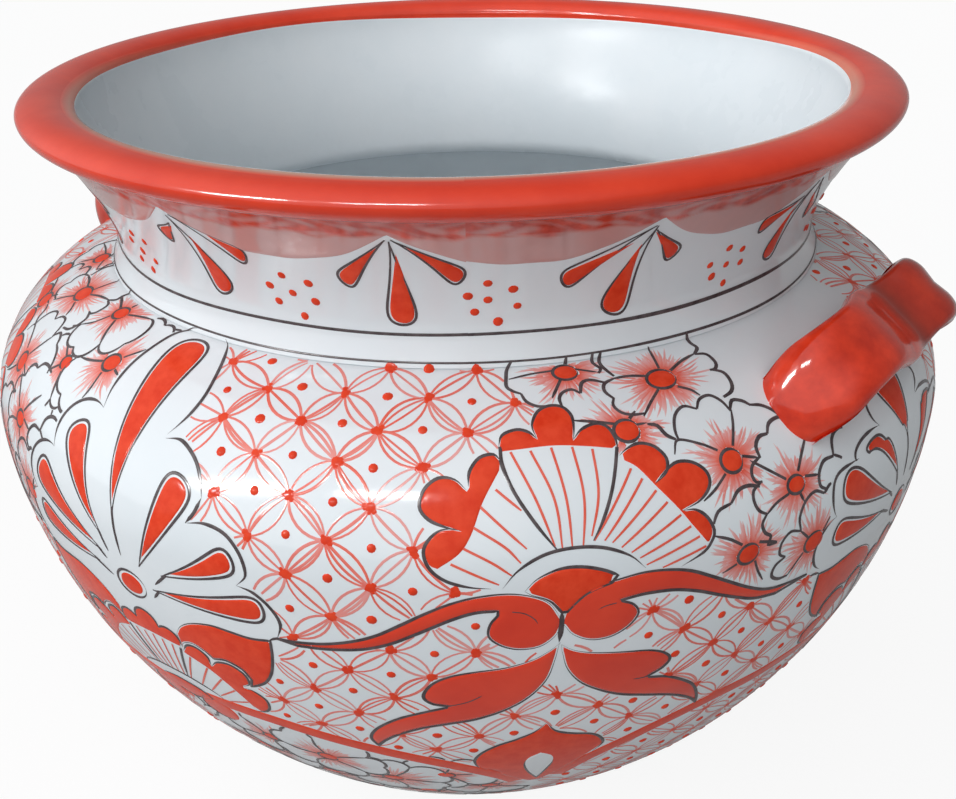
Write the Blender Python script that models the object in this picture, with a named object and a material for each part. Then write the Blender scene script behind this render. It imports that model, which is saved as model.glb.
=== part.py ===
"""A large painted ceramic vase with a round belly, a flared neck, a rolled lip and two strap handles.

The pot is built the way a potter builds one this size. A base slab stands on a foot ring, the belly
stands on the slab, the neck collar and the lip are added on top, and the two handles are pulled as
straps, bent into two finger humps and pressed onto the shoulder. Lengths are in metres, +Z is up,
the pot's axis is the Z axis and the foot stands on z = 0. The handles lie at +X and -X.
"""

import math

import bmesh
import bpy
from mathutils import Vector

# Belly. The bowl below its widest level is a superellipse that ends on the base slab.
BELLY_RADIUS = 0.203
BELLY_LEVEL = 0.184
BOWL_FULLNESS = 1.85
SHOULDER_REACH = 0.074
SHOULDER_RISE = 0.0555
BELLY_WALL = 0.009

# Foot and base
BASE_RADIUS = 0.106
BASE_THICKNESS = 0.011
FOOT_INSET = 0.008
FOOT_WIDTH = 0.017
FOOT_HEIGHT = 0.009
FOOT_TAPER = 0.0025
FOOT_EDGE = 0.002

# Neck collar. The flare's leads are shares of its spread and of its height.
NECK_RADIUS = 0.1465
NECK_FOOT_SPREAD = 0.0037
NECK_FOOT_HEIGHT = 0.0137
NECK_WALL = 0.0095
FLARE_HEIGHT = 0.038
FLARE_SPREAD = 0.021
FLARE_LOW_LEAD_SHARES = (0.07, 0.26)
FLARE_HIGH_LEAD_SHARES = (0.46, 0.27)

# Lip. Its bead turns from the mouth over the top to the flare.
LIP_WIDTH = 0.023
LIP_HEIGHT = 0.0168
LIP_OVERHANG = 0.010
LIP_WIDEST_SHARE = 0.54
LIP_SWEEP = math.radians(244.0)

# Handles
STRAP_WIDTH = 0.028
STRAP_THICKNESS = 0.011
STRAP_END_WIDTH = 0.031
THUMB_GROOVE = 0.0014
THUMB_GROOVE_SHARE = 0.4
HANDLE_PLACE = math.radians(45.5)
HUMP_HEIGHT = 0.018
HUMP_OFFSET = 0.027
VALLEY_HEIGHT = 0.0115
VALLEY_CLIMB_SHARES = (0.42, 0.38)
STRAP_REACH = 0.051
STRAP_FALL_SHARES = (0.60, 0.72)
STRAP_HEEL_SHARES = (0.96, 0.05)
STRAP_ROOT_DEPTH = 0.012
END_ROUND_FROM_SHARE = 0.8
END_ROUND_SHARE = 0.6

# Clearance between one piece and the piece it sits on
JOINT_GAP = 0.0003

# Smoothness of the round forms
TURN_STEPS = 56
BOWL_STEPS = 11
SHOULDER_STEPS = 8
NECK_STEPS = 4
FLARE_STEPS = 5
LIP_STEPS = 14
STRAP_STEPS = 5
SECTION_POINTS = 16
SECTION_SQUARENESS = 3.2

# Sizes that follow from the ones above
BASE_BOTTOM = FOOT_HEIGHT + JOINT_GAP
BASE_TOP = BASE_BOTTOM + BASE_THICKNESS
BELLY_BOTTOM = BASE_TOP + JOINT_GAP
FOOT_RADIUS = BASE_RADIUS - FOOT_INSET
BASE_SHARE = 1.0 - (BASE_RADIUS / BELLY_RADIUS) ** BOWL_FULLNESS
BOWL_DEPTH = (BELLY_LEVEL - BASE_BOTTOM) / BASE_SHARE ** (1.0 / BOWL_FULLNESS)
NECK_FOOT_RADIUS = NECK_RADIUS + NECK_FOOT_SPREAD
SHOULDER_CENTRE = BELLY_RADIUS - SHOULDER_REACH


def bowl_radius(level):
    """Radius of the bowl's outer face at a level below the belly's widest one."""
    drop = (BELLY_LEVEL - level) / BOWL_DEPTH
    return BELLY_RADIUS * (1.0 - drop ** BOWL_FULLNESS) ** (1.0 / BOWL_FULLNESS)


def shoulder_level(radius):
    """Level of the shoulder's outer face at a radius."""
    reach = (radius - SHOULDER_CENTRE) / SHOULDER_REACH
    return BELLY_LEVEL + SHOULDER_RISE * math.sqrt(max(0.0, 1.0 - reach * reach))


BELLY_TOP = shoulder_level(NECK_FOOT_RADIUS)
NECK_BOTTOM = BELLY_TOP + JOINT_GAP
NECK_LEVEL = NECK_BOTTOM + NECK_FOOT_HEIGHT
NECK_TOP = NECK_LEVEL + FLARE_HEIGHT
LIP_BOTTOM = NECK_TOP + JOINT_GAP
FLARE_RADIUS = NECK_RADIUS + FLARE_SPREAD
LIP_RADIUS = FLARE_RADIUS + LIP_OVERHANG
NECK_BORE = NECK_RADIUS - NECK_WALL
LIP_BORE = LIP_RADIUS - LIP_WIDTH


def belly_outline(inset, top_radius=NECK_FOOT_RADIUS):
    """Points (radius, level) down the belly's outer face drawn in by the inset, top to foot."""
    points = []
    start = math.acos(min(1.0, (top_radius - SHOULDER_CENTRE) / (SHOULDER_REACH - inset)))
    for step in range(SHOULDER_STEPS + 1):
        angle = start * (1.0 - step / SHOULDER_STEPS)
        radius = SHOULDER_CENTRE + (SHOULDER_REACH - inset) * math.cos(angle)
        points.append((radius, BELLY_LEVEL + (SHOULDER_RISE - inset) * math.sin(angle)))
    power = 2.0 / BOWL_FULLNESS
    end = math.asin(((BELLY_LEVEL - BELLY_BOTTOM) / (BOWL_DEPTH - inset)) ** (1.0 / power))
    for step in range(1, BOWL_STEPS + 1):
        angle = end * step / BOWL_STEPS
        radius = (BELLY_RADIUS - inset) * math.cos(angle) ** power
        points.append((radius, BELLY_LEVEL - (BOWL_DEPTH - inset) * math.sin(angle) ** power))
    return points


def flare(low_radius, high_radius):
    """Points up one face of the collar's flare, from the waist to the lip."""
    spread = high_radius - low_radius
    corners = (
        (low_radius, NECK_LEVEL),
        (low_radius + FLARE_LOW_LEAD_SHARES[0] * spread,
         NECK_LEVEL + FLARE_LOW_LEAD_SHARES[1] * FLARE_HEIGHT),
        (high_radius - FLARE_HIGH_LEAD_SHARES[0] * spread,
         NECK_TOP - FLARE_HIGH_LEAD_SHARES[1] * FLARE_HEIGHT),
        (high_radius, NECK_TOP),
    )
    points = []
    for step in range(FLARE_STEPS + 1):
        t = step / FLARE_STEPS
        u = 1.0 - t
        weights = (u ** 3, 3 * u * u * t, 3 * u * t * t, t ** 3)
        radius = sum(w * c[0] for w, c in zip(weights, corners))
        level = sum(w * c[1] for w, c in zip(weights, corners))
        points.append((radius, level))
    return points


def neck_foot():
    """Points up the collar's concave foot, from the shoulder to just below the waist."""
    curve = (NECK_FOOT_HEIGHT ** 2 + NECK_FOOT_SPREAD ** 2) / (2.0 * NECK_FOOT_SPREAD)
    points = []
    for step in range(NECK_STEPS):
        below = NECK_FOOT_HEIGHT * (1.0 - step / NECK_STEPS)
        radius = NECK_RADIUS + curve - math.sqrt(curve * curve - below * below)
        points.append((radius, NECK_LEVEL - below))
    return points


def lip_outline():
    """The rolled lip: a flat seat below and an oval bead above it."""
    half_width = LIP_WIDTH / 2.0
    centre_level = LIP_BOTTOM + LIP_WIDEST_SHARE * LIP_HEIGHT
    half_height = LIP_BOTTOM + LIP_HEIGHT - centre_level
    centre_radius = LIP_RADIUS - half_width
    points = []
    for step in range(LIP_STEPS + 1):
        angle = math.pi - LIP_SWEEP * step / LIP_STEPS
        points.append((centre_radius + half_width * math.cos(angle),
                       centre_level + half_height * math.sin(angle)))
    return points + [(FLARE_RADIUS, LIP_BOTTOM), (LIP_BORE, LIP_BOTTOM)]


def paint(obj, colour, roughness):
    """Give the object its own plain material."""
    material = bpy.data.materials.new(obj.name)
    material.use_nodes = True
    shader = material.node_tree.nodes["Principled BSDF"]
    shader.inputs["Base Color"].default_value = (*colour, 1.0)
    shader.inputs["Roughness"].default_value = roughness
    shader.inputs["Metallic"].default_value = 0.0
    obj.data.materials.append(material)


def add_object(name, bm):
    """Put a mesh in the scene under its own name, shaded smooth between its sharp edges."""
    mesh = bpy.data.meshes.new(name)
    bm.to_mesh(mesh)
    bm.free()
    obj = bpy.data.objects.new(name, mesh)
    bpy.context.scene.collection.objects.link(obj)
    return obj


def turn(name, outline, closed=True):
    """Turn an outline of (radius, level) points round the pot's axis with a Screw modifier."""
    bm = bmesh.new()
    verts = [bm.verts.new((radius, 0.0, level)) for radius, level in outline]
    for first, second in zip(verts, verts[1:]):
        bm.edges.new((first, second))
    if closed:
        bm.edges.new((verts[-1], verts[0]))
    obj = add_object(name, bm)
    screw = obj.modifiers.new("Turn", "SCREW")
    screw.axis = "Z"
    screw.angle = 2.0 * math.pi
    screw.steps = TURN_STEPS
    screw.render_steps = TURN_STEPS
    screw.use_merge_vertices = True
    screw.merge_threshold = 0.00001
    screw.use_smooth_shade = True
    return obj


def foot_ring():
    """The ring that the pot stands on, with a softened standing edge."""
    inner = FOOT_RADIUS - FOOT_WIDTH
    outline = [
        (inner, FOOT_HEIGHT),
        (FOOT_RADIUS - FOOT_TAPER, FOOT_HEIGHT),
        (FOOT_RADIUS, FOOT_EDGE),
        (FOOT_RADIUS - FOOT_EDGE, 0.0),
        (inner + FOOT_EDGE, 0.0),
        (inner, FOOT_EDGE),
    ]
    obj = turn("foot_ring", outline)
    paint(obj, (0.55, 0.30, 0.18), 0.85)
    return obj


def base_slab():
    """The round floor of the pot. Its edge follows the bowl."""
    outline = [
        (0.0, BASE_TOP),
        (bowl_radius(BASE_TOP), BASE_TOP),
        (bowl_radius(BASE_BOTTOM), BASE_BOTTOM),
        (0.0, BASE_BOTTOM),
    ]
    obj = turn("base_slab", outline, closed=False)
    paint(obj, (0.80, 0.81, 0.80), 0.25)
    return obj


def belly_shell():
    """The open hollow belly, from the base slab up to the seat of the neck collar."""
    outer = belly_outline(0.0)
    inner = belly_outline(BELLY_WALL, NECK_BORE)
    outline = outer + inner[::-1] + [(NECK_BORE, BELLY_TOP)]
    obj = turn("belly_shell", outline)
    paint(obj, (0.80, 0.81, 0.80), 0.15)
    return obj


def neck_collar():
    """The collar: a narrow waist that flares up to the lip."""
    outer = neck_foot() + flare(NECK_RADIUS, FLARE_RADIUS)
    inner = [(NECK_BORE, NECK_BOTTOM)] + flare(NECK_BORE, LIP_BORE)
    obj = turn("neck_collar", outer[::-1] + inner)
    paint(obj, (0.80, 0.81, 0.80), 0.15)
    return obj


def rolled_lip():
    """The thick rolled lip."""
    obj = turn("rolled_lip", lip_outline())
    paint(obj, (0.62, 0.07, 0.025), 0.12)
    return obj


def shoulder_cutter():
    """The belly's outer form grown by the joint gap. It trims the handles to their seats."""
    face = belly_outline(-JOINT_GAP)
    outline = [(0.0, face[0][1]), *face, (0.0, face[-1][1])]
    obj = turn("shoulder_cutter", outline, closed=False)
    obj.hide_render = True
    obj.display_type = "WIRE"
    return obj


def strap_route():
    """Stations along the strap's centre line as (along, away), away from the shoulder."""
    climb = HUMP_HEIGHT - VALLEY_HEIGHT
    fall = STRAP_REACH - HUMP_OFFSET
    half = [
        (0.0, VALLEY_HEIGHT),
        (VALLEY_CLIMB_SHARES[0] * HUMP_OFFSET, VALLEY_HEIGHT + VALLEY_CLIMB_SHARES[1] * climb),
        (HUMP_OFFSET, HUMP_HEIGHT),
        (HUMP_OFFSET + STRAP_FALL_SHARES[0] * fall, STRAP_FALL_SHARES[1] * HUMP_HEIGHT),
        (STRAP_HEEL_SHARES[0] * STRAP_REACH, STRAP_HEEL_SHARES[1] * HUMP_HEIGHT),
        (STRAP_REACH, -STRAP_ROOT_DEPTH),
    ]
    knots = [(-along, away) for along, away in half[:0:-1]] + half
    padded = [knots[0], *knots, knots[-1]]
    route = []
    for index in range(1, len(padded) - 2):
        before, start, end, after = (Vector(padded[index + k]) for k in (-1, 0, 1, 2))
        for step in range(STRAP_STEPS):
            t = step / STRAP_STEPS
            lead = (end - before) * 0.5
            trail = (after - start) * 0.5
            route.append((2 * t ** 3 - 3 * t ** 2 + 1) * start + (t ** 3 - 2 * t ** 2 + t) * lead
                         + (3 * t ** 2 - 2 * t ** 3) * end + (t ** 3 - t ** 2) * trail)
    route.append(Vector(knots[-1]))
    return route


def strap_section(share):
    """Section points (across, out) of the strap. share is 0 at its middle and 1 at its ends.

    The strap widens towards its ends, which are rounded like a pressed thumb of clay.
    """
    spread = share ** 3
    rounding = max(0.0, min(share, 1.0) - END_ROUND_FROM_SHARE) / (1.0 - END_ROUND_FROM_SHARE)
    half_width = 0.5 * (STRAP_WIDTH + (STRAP_END_WIDTH - STRAP_WIDTH) * spread)
    half_width *= math.sqrt(1.0 - (END_ROUND_SHARE * rounding) ** 2)
    half_thick = 0.5 * STRAP_THICKNESS
    power = 2.0 / SECTION_SQUARENESS
    points = []
    for index in range(SECTION_POINTS):
        angle = 2.0 * math.pi * (index + 0.5) / SECTION_POINTS
        c, s = math.cos(angle), math.sin(angle)
        across = half_width * math.copysign(abs(c) ** power, c)
        out = half_thick * math.copysign(abs(s) ** power, s)
        if s > 0.0:
            groove = across / (THUMB_GROOVE_SHARE * half_width)
            out -= THUMB_GROOVE * spread * math.exp(-groove * groove)
        points.append((across, out))
    return points


def strap_handle(name, turned, cutter):
    """One handle: a strap with two finger humps, its ends pressed onto the shoulder."""
    out_share, up_share = math.cos(HANDLE_PLACE), math.sin(HANDLE_PLACE)
    seat = Vector((SHOULDER_CENTRE + SHOULDER_REACH * out_share, 0.0,
                   BELLY_LEVEL + SHOULDER_RISE * up_share))
    away = Vector((out_share / SHOULDER_REACH, 0.0, up_share / SHOULDER_RISE)).normalized()
    across = Vector((away.z, 0.0, -away.x))
    along = Vector((0.0, 1.0, 0.0))
    route = strap_route()
    bm = bmesh.new()
    rings = []
    for index, station in enumerate(route):
        before = route[max(index - 1, 0)]
        after = route[min(index + 1, len(route) - 1)]
        run = (after - before).normalized()
        out = along * -run.y + away * run.x
        centre = seat + along * station.x + away * station.y
        section = strap_section(abs(station.x) / STRAP_REACH)
        rings.append([bm.verts.new(centre + across * a + out * o) for a, o in section])
    for ring, following in zip(rings, rings[1:]):
        for index in range(SECTION_POINTS):
            beside = (index + 1) % SECTION_POINTS
            bm.faces.new((ring[index], following[index], following[beside], ring[beside]))
    bm.faces.new(rings[0])
    bm.faces.new(rings[-1][::-1])
    bmesh.ops.recalc_face_normals(bm, faces=bm.faces)
    for face in bm.faces:
        face.smooth = True
    obj = add_object(name, bm)
    obj.rotation_euler.z = turned
    seat_cut = obj.modifiers.new("Seat", "BOOLEAN")
    seat_cut.operation = "DIFFERENCE"
    seat_cut.solver = "EXACT"
    seat_cut.object = cutter
    paint(obj, (0.62, 0.07, 0.025), 0.12)
    return obj


def build():
    """Clear the scene and make every piece of the vase."""
    for obj in list(bpy.data.objects):
        bpy.data.objects.remove(obj)
    foot_ring()
    base_slab()
    belly_shell()
    neck_collar()
    rolled_lip()
    cutter = shoulder_cutter()
    strap_handle("handle_right", 0.0, cutter)
    strap_handle("handle_left", math.pi, cutter)


build()
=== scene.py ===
"""A large ceramic vase with hand-painted red decoration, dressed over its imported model.

The white glaze, the red rim and the strap handles follow the solids' own forms in finer steps.
The painting lies on them as thin raised glaze. It is drawn flat, in millimetres: across is
measured round the belly at its widest, up is measured along the wall from the widest level, and
wrap() lays it on the wall. One quarter of the belly holds a lily and a fan, and it comes round
four times.
"""

import math

import bpy
import numpy as np
from mathutils import Matrix, Vector
from mathutils.geometry import delaunay_2d_cdt


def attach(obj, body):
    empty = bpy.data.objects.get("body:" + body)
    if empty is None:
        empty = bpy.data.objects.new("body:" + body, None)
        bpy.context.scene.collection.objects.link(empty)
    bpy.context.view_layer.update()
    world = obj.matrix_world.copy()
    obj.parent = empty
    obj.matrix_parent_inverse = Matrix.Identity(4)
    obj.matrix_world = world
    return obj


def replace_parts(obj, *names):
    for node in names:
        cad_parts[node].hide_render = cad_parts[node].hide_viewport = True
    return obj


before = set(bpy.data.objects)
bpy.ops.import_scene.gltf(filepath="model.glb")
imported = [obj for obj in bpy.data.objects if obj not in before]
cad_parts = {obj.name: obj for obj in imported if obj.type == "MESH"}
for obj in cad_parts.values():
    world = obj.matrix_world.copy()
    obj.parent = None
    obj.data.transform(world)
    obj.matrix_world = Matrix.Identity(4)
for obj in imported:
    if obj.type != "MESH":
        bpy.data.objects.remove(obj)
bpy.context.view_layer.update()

MM = 0.001

# The vase's form, in millimetres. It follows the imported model, but for the lip's bead and the
# straps, which are drawn a few millimetres fuller or slimmer. What is called a lead is a share.
BELLY_RADIUS = 203.0
BELLY_LEVEL = 184.0
BOWL_FULLNESS = 1.85
SHOULDER_REACH = 74.0
SHOULDER_RISE = 55.5
BELLY_WALL = 9.0
BASE_RADIUS = 106.0
BASE_BOTTOM = 9.3
BASE_TOP = 20.3
FOOT_RADIUS = 98.0
FOOT_WIDTH = 17.0
FOOT_TAPER = 2.5
FOOT_EDGE = 2.0
FOOT_TOP_EASE = 0.4
NECK_RADIUS = 146.5
NECK_FOOT_SPREAD = 3.7
NECK_FOOT_HEIGHT = 13.7
NECK_WALL = 9.5
FLARE_HEIGHT = 38.0
FLARE_SPREAD = 21.0
FLARE_TUCK = 1.5
FLARE_LOW_LEAD = (0.07, 0.26)
FLARE_HIGH_LEAD = (0.46, 0.27)
LIP_WIDTH = 23.0
LIP_HEIGHT = 16.8
LIP_OVERHANG = 10.0
LIP_WIDEST_SHARE = 0.66
LIP_UNDER = 7.0
LIP_RISE = 5.0
LIP_SWEEP = math.radians(244.0)
MOUTH_TOP_PULL = 3.0
MOUTH_FOOT_PULL = 17.0
JOINT_GAP = 0.3

# Rounding of the corner inside, where the shoulder turns up into the neck
BORE_ROUNDING = 8.0

# The white glaze lies this far inside the solid, so that the painting stays within its box
GLAZE_SINK = 0.3

# Sizes that follow
BASE_SHARE = 1.0 - (BASE_RADIUS / BELLY_RADIUS) ** BOWL_FULLNESS
BOWL_DEPTH = (BELLY_LEVEL - BASE_BOTTOM) / BASE_SHARE ** (1.0 / BOWL_FULLNESS)
SHOULDER_CENTRE = BELLY_RADIUS - SHOULDER_REACH
SHOULDER_END = NECK_RADIUS + NECK_FOOT_SPREAD
NECK_BORE = NECK_RADIUS - NECK_WALL
FLARE_RADIUS = NECK_RADIUS + FLARE_SPREAD + FLARE_TUCK
LIP_RADIUS = NECK_RADIUS + FLARE_SPREAD + LIP_OVERHANG
LIP_BORE = LIP_RADIUS - LIP_WIDTH

# Smoothness: steps of a full turn, and points along each stretch of the wall
TURN_STEPS = 256
HIDDEN_TURN_STEPS = 128
BOWL_POINTS = 60
SHOULDER_POINTS = 36
NECK_POINTS = 8
FLARE_POINTS = 22
LIP_POINTS = 46
MOUTH_POINTS = 40
CORNER_POINTS = 13
BORE_POINTS = 9

# Places along the wall's points
WIDEST = BOWL_POINTS - 1
NECK_FIRST = WIDEST + SHOULDER_POINTS
LIP_FIRST = NECK_FIRST + NECK_POINTS + FLARE_POINTS
MOUTH_POINT = LIP_FIRST + LIP_POINTS - 1

# How near points are merged, in metres, and the sharpest bend that is smoothed, in degrees
MERGE_DISTANCE = 2e-6
POT_CREASE = 38.0
STRAP_CREASE = 40.0


# Curves


def bezier(corners, steps):
    """Points along a cubic curve, both ends included."""
    t = np.linspace(0.0, 1.0, steps)[:, None]
    a, b, c, d = (np.array(corner, float) for corner in corners)
    return (1 - t) ** 3 * a + 3 * t * (1 - t) ** 2 * b + 3 * t * t * (1 - t) * c + t ** 3 * d


def bowl(inset, lowest, steps):
    """The bowl's face drawn in by the inset, from the lowest level up to the widest."""
    power = 2.0 / BOWL_FULLNESS
    depth = BOWL_DEPTH - inset
    angle = np.linspace(math.asin(((BELLY_LEVEL - lowest) / depth) ** (1.0 / power)), 0.0, steps)
    radius = (BELLY_RADIUS - inset) * np.cos(angle) ** power
    return np.stack([radius, BELLY_LEVEL - depth * np.sin(angle) ** power], -1)


def shoulder(inset, top_radius, steps):
    """The shoulder's face drawn in by the inset, from the widest level up to a radius."""
    reach, rise = SHOULDER_REACH - inset, SHOULDER_RISE - inset
    angle = np.linspace(0.0, math.acos((top_radius - SHOULDER_CENTRE) / reach), steps)
    return np.stack([SHOULDER_CENTRE + reach * np.cos(angle), BELLY_LEVEL + rise * np.sin(angle)], -1)


def flare(low_radius, high_radius, steps):
    """One face of the neck's flare, from the waist up to the lip."""
    spread, rise = high_radius - low_radius, FLARE_TOP - NECK_LEVEL
    return bezier((
        (low_radius, NECK_LEVEL),
        (low_radius + FLARE_LOW_LEAD[0] * spread, NECK_LEVEL + FLARE_LOW_LEAD[1] * rise),
        (high_radius - FLARE_HIGH_LEAD[0] * spread, FLARE_TOP - FLARE_HIGH_LEAD[1] * rise),
        (high_radius, FLARE_TOP),
    ), steps)


def outer_wall():
    """The whole outer face as (radius, level), from the base over the lip to the mouth."""
    neck_curve = (NECK_FOOT_HEIGHT ** 2 + NECK_FOOT_SPREAD ** 2) / (2.0 * NECK_FOOT_SPREAD)
    below = np.linspace(NECK_FOOT_HEIGHT, 0.0, NECK_POINTS + 1)[:-1]
    neck = np.stack([NECK_RADIUS + neck_curve - np.sqrt(neck_curve ** 2 - below ** 2),
                     NECK_LEVEL - below], -1)
    centre = NECK_TOP + JOINT_GAP + LIP_WIDEST_SHARE * LIP_HEIGHT
    angle = np.linspace(math.pi - LIP_SWEEP, math.pi, LIP_POINTS)
    half_height = np.where(angle < 0.0, LIP_UNDER, NECK_TOP + JOINT_GAP + LIP_HEIGHT - centre)
    lip = np.stack([LIP_RADIUS - LIP_WIDTH / 2.0 * (1.0 - np.cos(angle)),
                    centre + half_height * np.sin(angle)], -1)
    return np.concatenate([
        bowl(0.0, BASE_BOTTOM, BOWL_POINTS)[:-1],
        shoulder(0.0, SHOULDER_END, SHOULDER_POINTS),
        neck,
        flare(NECK_RADIUS, FLARE_RADIUS, FLARE_POINTS),
        lip,
    ])


def mouth_wall(edge):
    """The face inside the mouth, from the lip's edge down the neck and round its lower corner."""
    below = shoulder(BELLY_WALL, NECK_BORE + BORE_ROUNDING, SHOULDER_POINTS)[-1]
    corner = (NECK_BORE, below[1] + BORE_ROUNDING)
    turn = np.linspace(math.pi / 2.0, 0.0, CORNER_POINTS)
    down = bezier((edge, (LIP_BORE, NECK_TOP - MOUTH_TOP_PULL),
                   (NECK_BORE, NECK_LEVEL + MOUTH_FOOT_PULL), corner), MOUTH_POINTS)
    return np.concatenate([down[1:-1], np.stack([
        below[0] - BORE_ROUNDING * np.sin(turn),
        below[1] + BORE_ROUNDING * (1.0 - np.cos(turn))], -1)])


def outward_of(outline):
    """The outward direction at each point of an outline that climbs with the pot inside it."""
    run = np.gradient(outline, axis=0)
    out = np.stack([run[:, 1], -run[:, 0]], -1)
    return out / np.linalg.norm(out, axis=1)[:, None]


SHOULDER_TOP = shoulder(0.0, SHOULDER_END, 2)[-1, 1]
NECK_LEVEL = SHOULDER_TOP + JOINT_GAP + NECK_FOOT_HEIGHT
NECK_TOP = NECK_LEVEL + FLARE_HEIGHT
FLARE_TOP = NECK_TOP + LIP_RISE
WALL = outer_wall()
WALL = np.concatenate([WALL, mouth_wall(WALL[MOUTH_POINT])])
OUTWARD = outward_of(WALL)
RUN = np.concatenate([[0.0], np.cumsum(np.linalg.norm(np.diff(WALL, axis=0), axis=1))])
RUN -= RUN[WIDEST]
LIP_START = RUN[LIP_FIRST]
MOUTH_RUN = RUN[MOUTH_POINT]

# The direction from the axis at which the painting's measure across starts
PATTERN_TURN = math.radians(-52.0)
QUARTER = BELLY_RADIUS * math.pi / 2.0


def narrowing(up):
    """How much narrower the wall is at a height along it than at its widest."""
    return np.interp(up, RUN, WALL[:, 0]) / BELLY_RADIUS


def wrap(across, up, lift):
    """Points in space of flat pattern points, lifted off the white glaze."""
    radius, level, out, rise = (np.interp(up, RUN, column) for column in (*WALL.T, *OUTWARD.T))
    radius = radius + (lift - GLAZE_SINK) * out
    level = level + (lift - GLAZE_SINK) * rise
    angle = across / BELLY_RADIUS + PATTERN_TURN
    return np.stack([radius * np.cos(angle), radius * np.sin(angle), level], -1) * MM


# Glazes and clay


def node_in(tree, kind, place, values=(), **settings):
    """A shader node at a place in the tree, with the values of its sockets and its settings."""
    node = tree.nodes.new(kind)
    node.location = place
    for name, value in settings.items():
        setattr(node, name, value)
    for socket, value in dict(values).items():
        node.inputs[socket].default_value = value
    return node


def link_all(tree, *pairs):
    """Link each output to its input."""
    for output, target in pairs:
        tree.links.new(output, target)


# How the glazes vary: where the thick colour ends and the thin one starts on the drift of the
# glaze, how far its gloss spreads, and its slow swell in waves per metre and metres
TINT_SPAN = (0.34, 0.66)
GLOSS_SPREAD = (0.7, 1.5)
SWELL_SCALE = 45.0
SWELL_DEPTH = 0.0012
GLASS_IOR = 1.5

# Sockets of the colour mix
MIX_FACTOR, MIX_PAINTED, MIX_BARE, MIX_RESULT = 0, 6, 7, 2


def glaze(name, thick, thin, grain, gloss=0.1, ripple=0.15, shine=0.5):
    """A fired glaze whose colour drifts between its thick and its thin places."""
    material = bpy.data.materials.new(name)
    material.use_nodes = True
    tree = material.node_tree
    shader = tree.nodes["Principled BSDF"]
    shader.inputs["Metallic"].default_value = 0.0
    shader.inputs["IOR"].default_value = GLASS_IOR
    shader.inputs["Specular IOR Level"].default_value = shine
    place = node_in(tree, "ShaderNodeTexCoord", (-1200, 0))
    drift = node_in(tree, "ShaderNodeTexNoise", (-900, 200),
                    {"Scale": 1.0 / grain, "Detail": 4.0, "Roughness": 0.6})
    tint = node_in(tree, "ShaderNodeValToRGB", (-600, 200))
    for index, colour in enumerate((thick, thin)):
        tint.color_ramp.elements[index].position = TINT_SPAN[index]
        tint.color_ramp.elements[index].color = (*colour, 1.0)
    sheen = node_in(tree, "ShaderNodeMapRange", (-600, -80),
                    {"To Min": gloss * GLOSS_SPREAD[0], "To Max": gloss * GLOSS_SPREAD[1]})
    swell = node_in(tree, "ShaderNodeTexNoise", (-900, -300), {"Scale": SWELL_SCALE, "Detail": 3.0})
    relief = node_in(tree, "ShaderNodeBump", (-400, -300),
                     {"Strength": ripple, "Distance": SWELL_DEPTH})
    link_all(tree,
             (place.outputs["Object"], drift.inputs["Vector"]),
             (place.outputs["Object"], swell.inputs["Vector"]),
             (drift.outputs["Fac"], tint.inputs["Fac"]),
             (drift.outputs["Fac"], sheen.inputs["Value"]),
             (swell.outputs["Fac"], relief.inputs["Height"]),
             (tint.outputs["Color"], shader.inputs["Base Color"]),
             (sheen.outputs["Result"], shader.inputs["Roughness"]),
             (relief.outputs["Normal"], shader.inputs["Normal"]))
    return material


def faded(material, ground):
    """Let a glaze go over to the ground's colour where the fade attribute rises to 1, where the glaze is
    thin or where shade or reflection is painted.
    """
    tree = material.node_tree
    fade = node_in(tree, "ShaderNodeAttribute", (-600, 480), attribute_name="fade")
    mix = node_in(tree, "ShaderNodeMix", (-250, 300), data_type="RGBA")
    mix.inputs[MIX_BARE].default_value = (*ground, 1.0)
    link_all(tree,
             (fade.outputs["Fac"], mix.inputs[MIX_FACTOR]),
             (tree.nodes["Color Ramp"].outputs["Color"], mix.inputs[MIX_PAINTED]),
             (mix.outputs[MIX_RESULT], tree.nodes["Principled BSDF"].inputs["Base Color"]))
    return material


WHITES = ((0.735, 0.785, 0.815), (0.775, 0.815, 0.84))
ENAMEL_REDS = ((0.68, 0.036, 0.011), (0.77, 0.052, 0.017))

WHITE_GLAZE = glaze("white_glaze_gloss", *WHITES, 0.05, gloss=0.09, ripple=0.12)
WHITE_INSIDE = glaze("white_glaze_inside", *WHITES, 0.05, gloss=0.26, ripple=0.3, shine=0.1)
RED_ENAMEL = glaze("red_enamel_thick", *ENAMEL_REDS, 0.03, gloss=0.14, ripple=0.2, shine=0.4)
RED_THIN = faded(glaze("red_enamel_thin", *ENAMEL_REDS, 0.03, gloss=0.14, ripple=0.2, shine=0.4),
                 (0.70, 0.46, 0.32))
RED_BRUSHED = glaze("red_enamel_brushed", (0.70, 0.043, 0.014), (0.79, 0.07, 0.026), 0.006,
                    gloss=0.13, ripple=0.25, shine=0.1)
RED_WASH = faded(glaze("red_wash_thin", (0.74, 0.08, 0.04), (0.80, 0.125, 0.075), 0.006,
                       gloss=0.14, ripple=0.2), (0.77, 0.80, 0.82))
# The flare's thick red is dark partly as painted shade under the lip, and its pale ground partly stands
# for painted reflection of the white shoulder
RED_FLARE = faded(glaze("red_wash_flare", (0.42, 0.025, 0.01), (0.70, 0.075, 0.04), 0.007,
                        gloss=0.1, ripple=0.3), (0.60, 0.36, 0.34))
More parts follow.
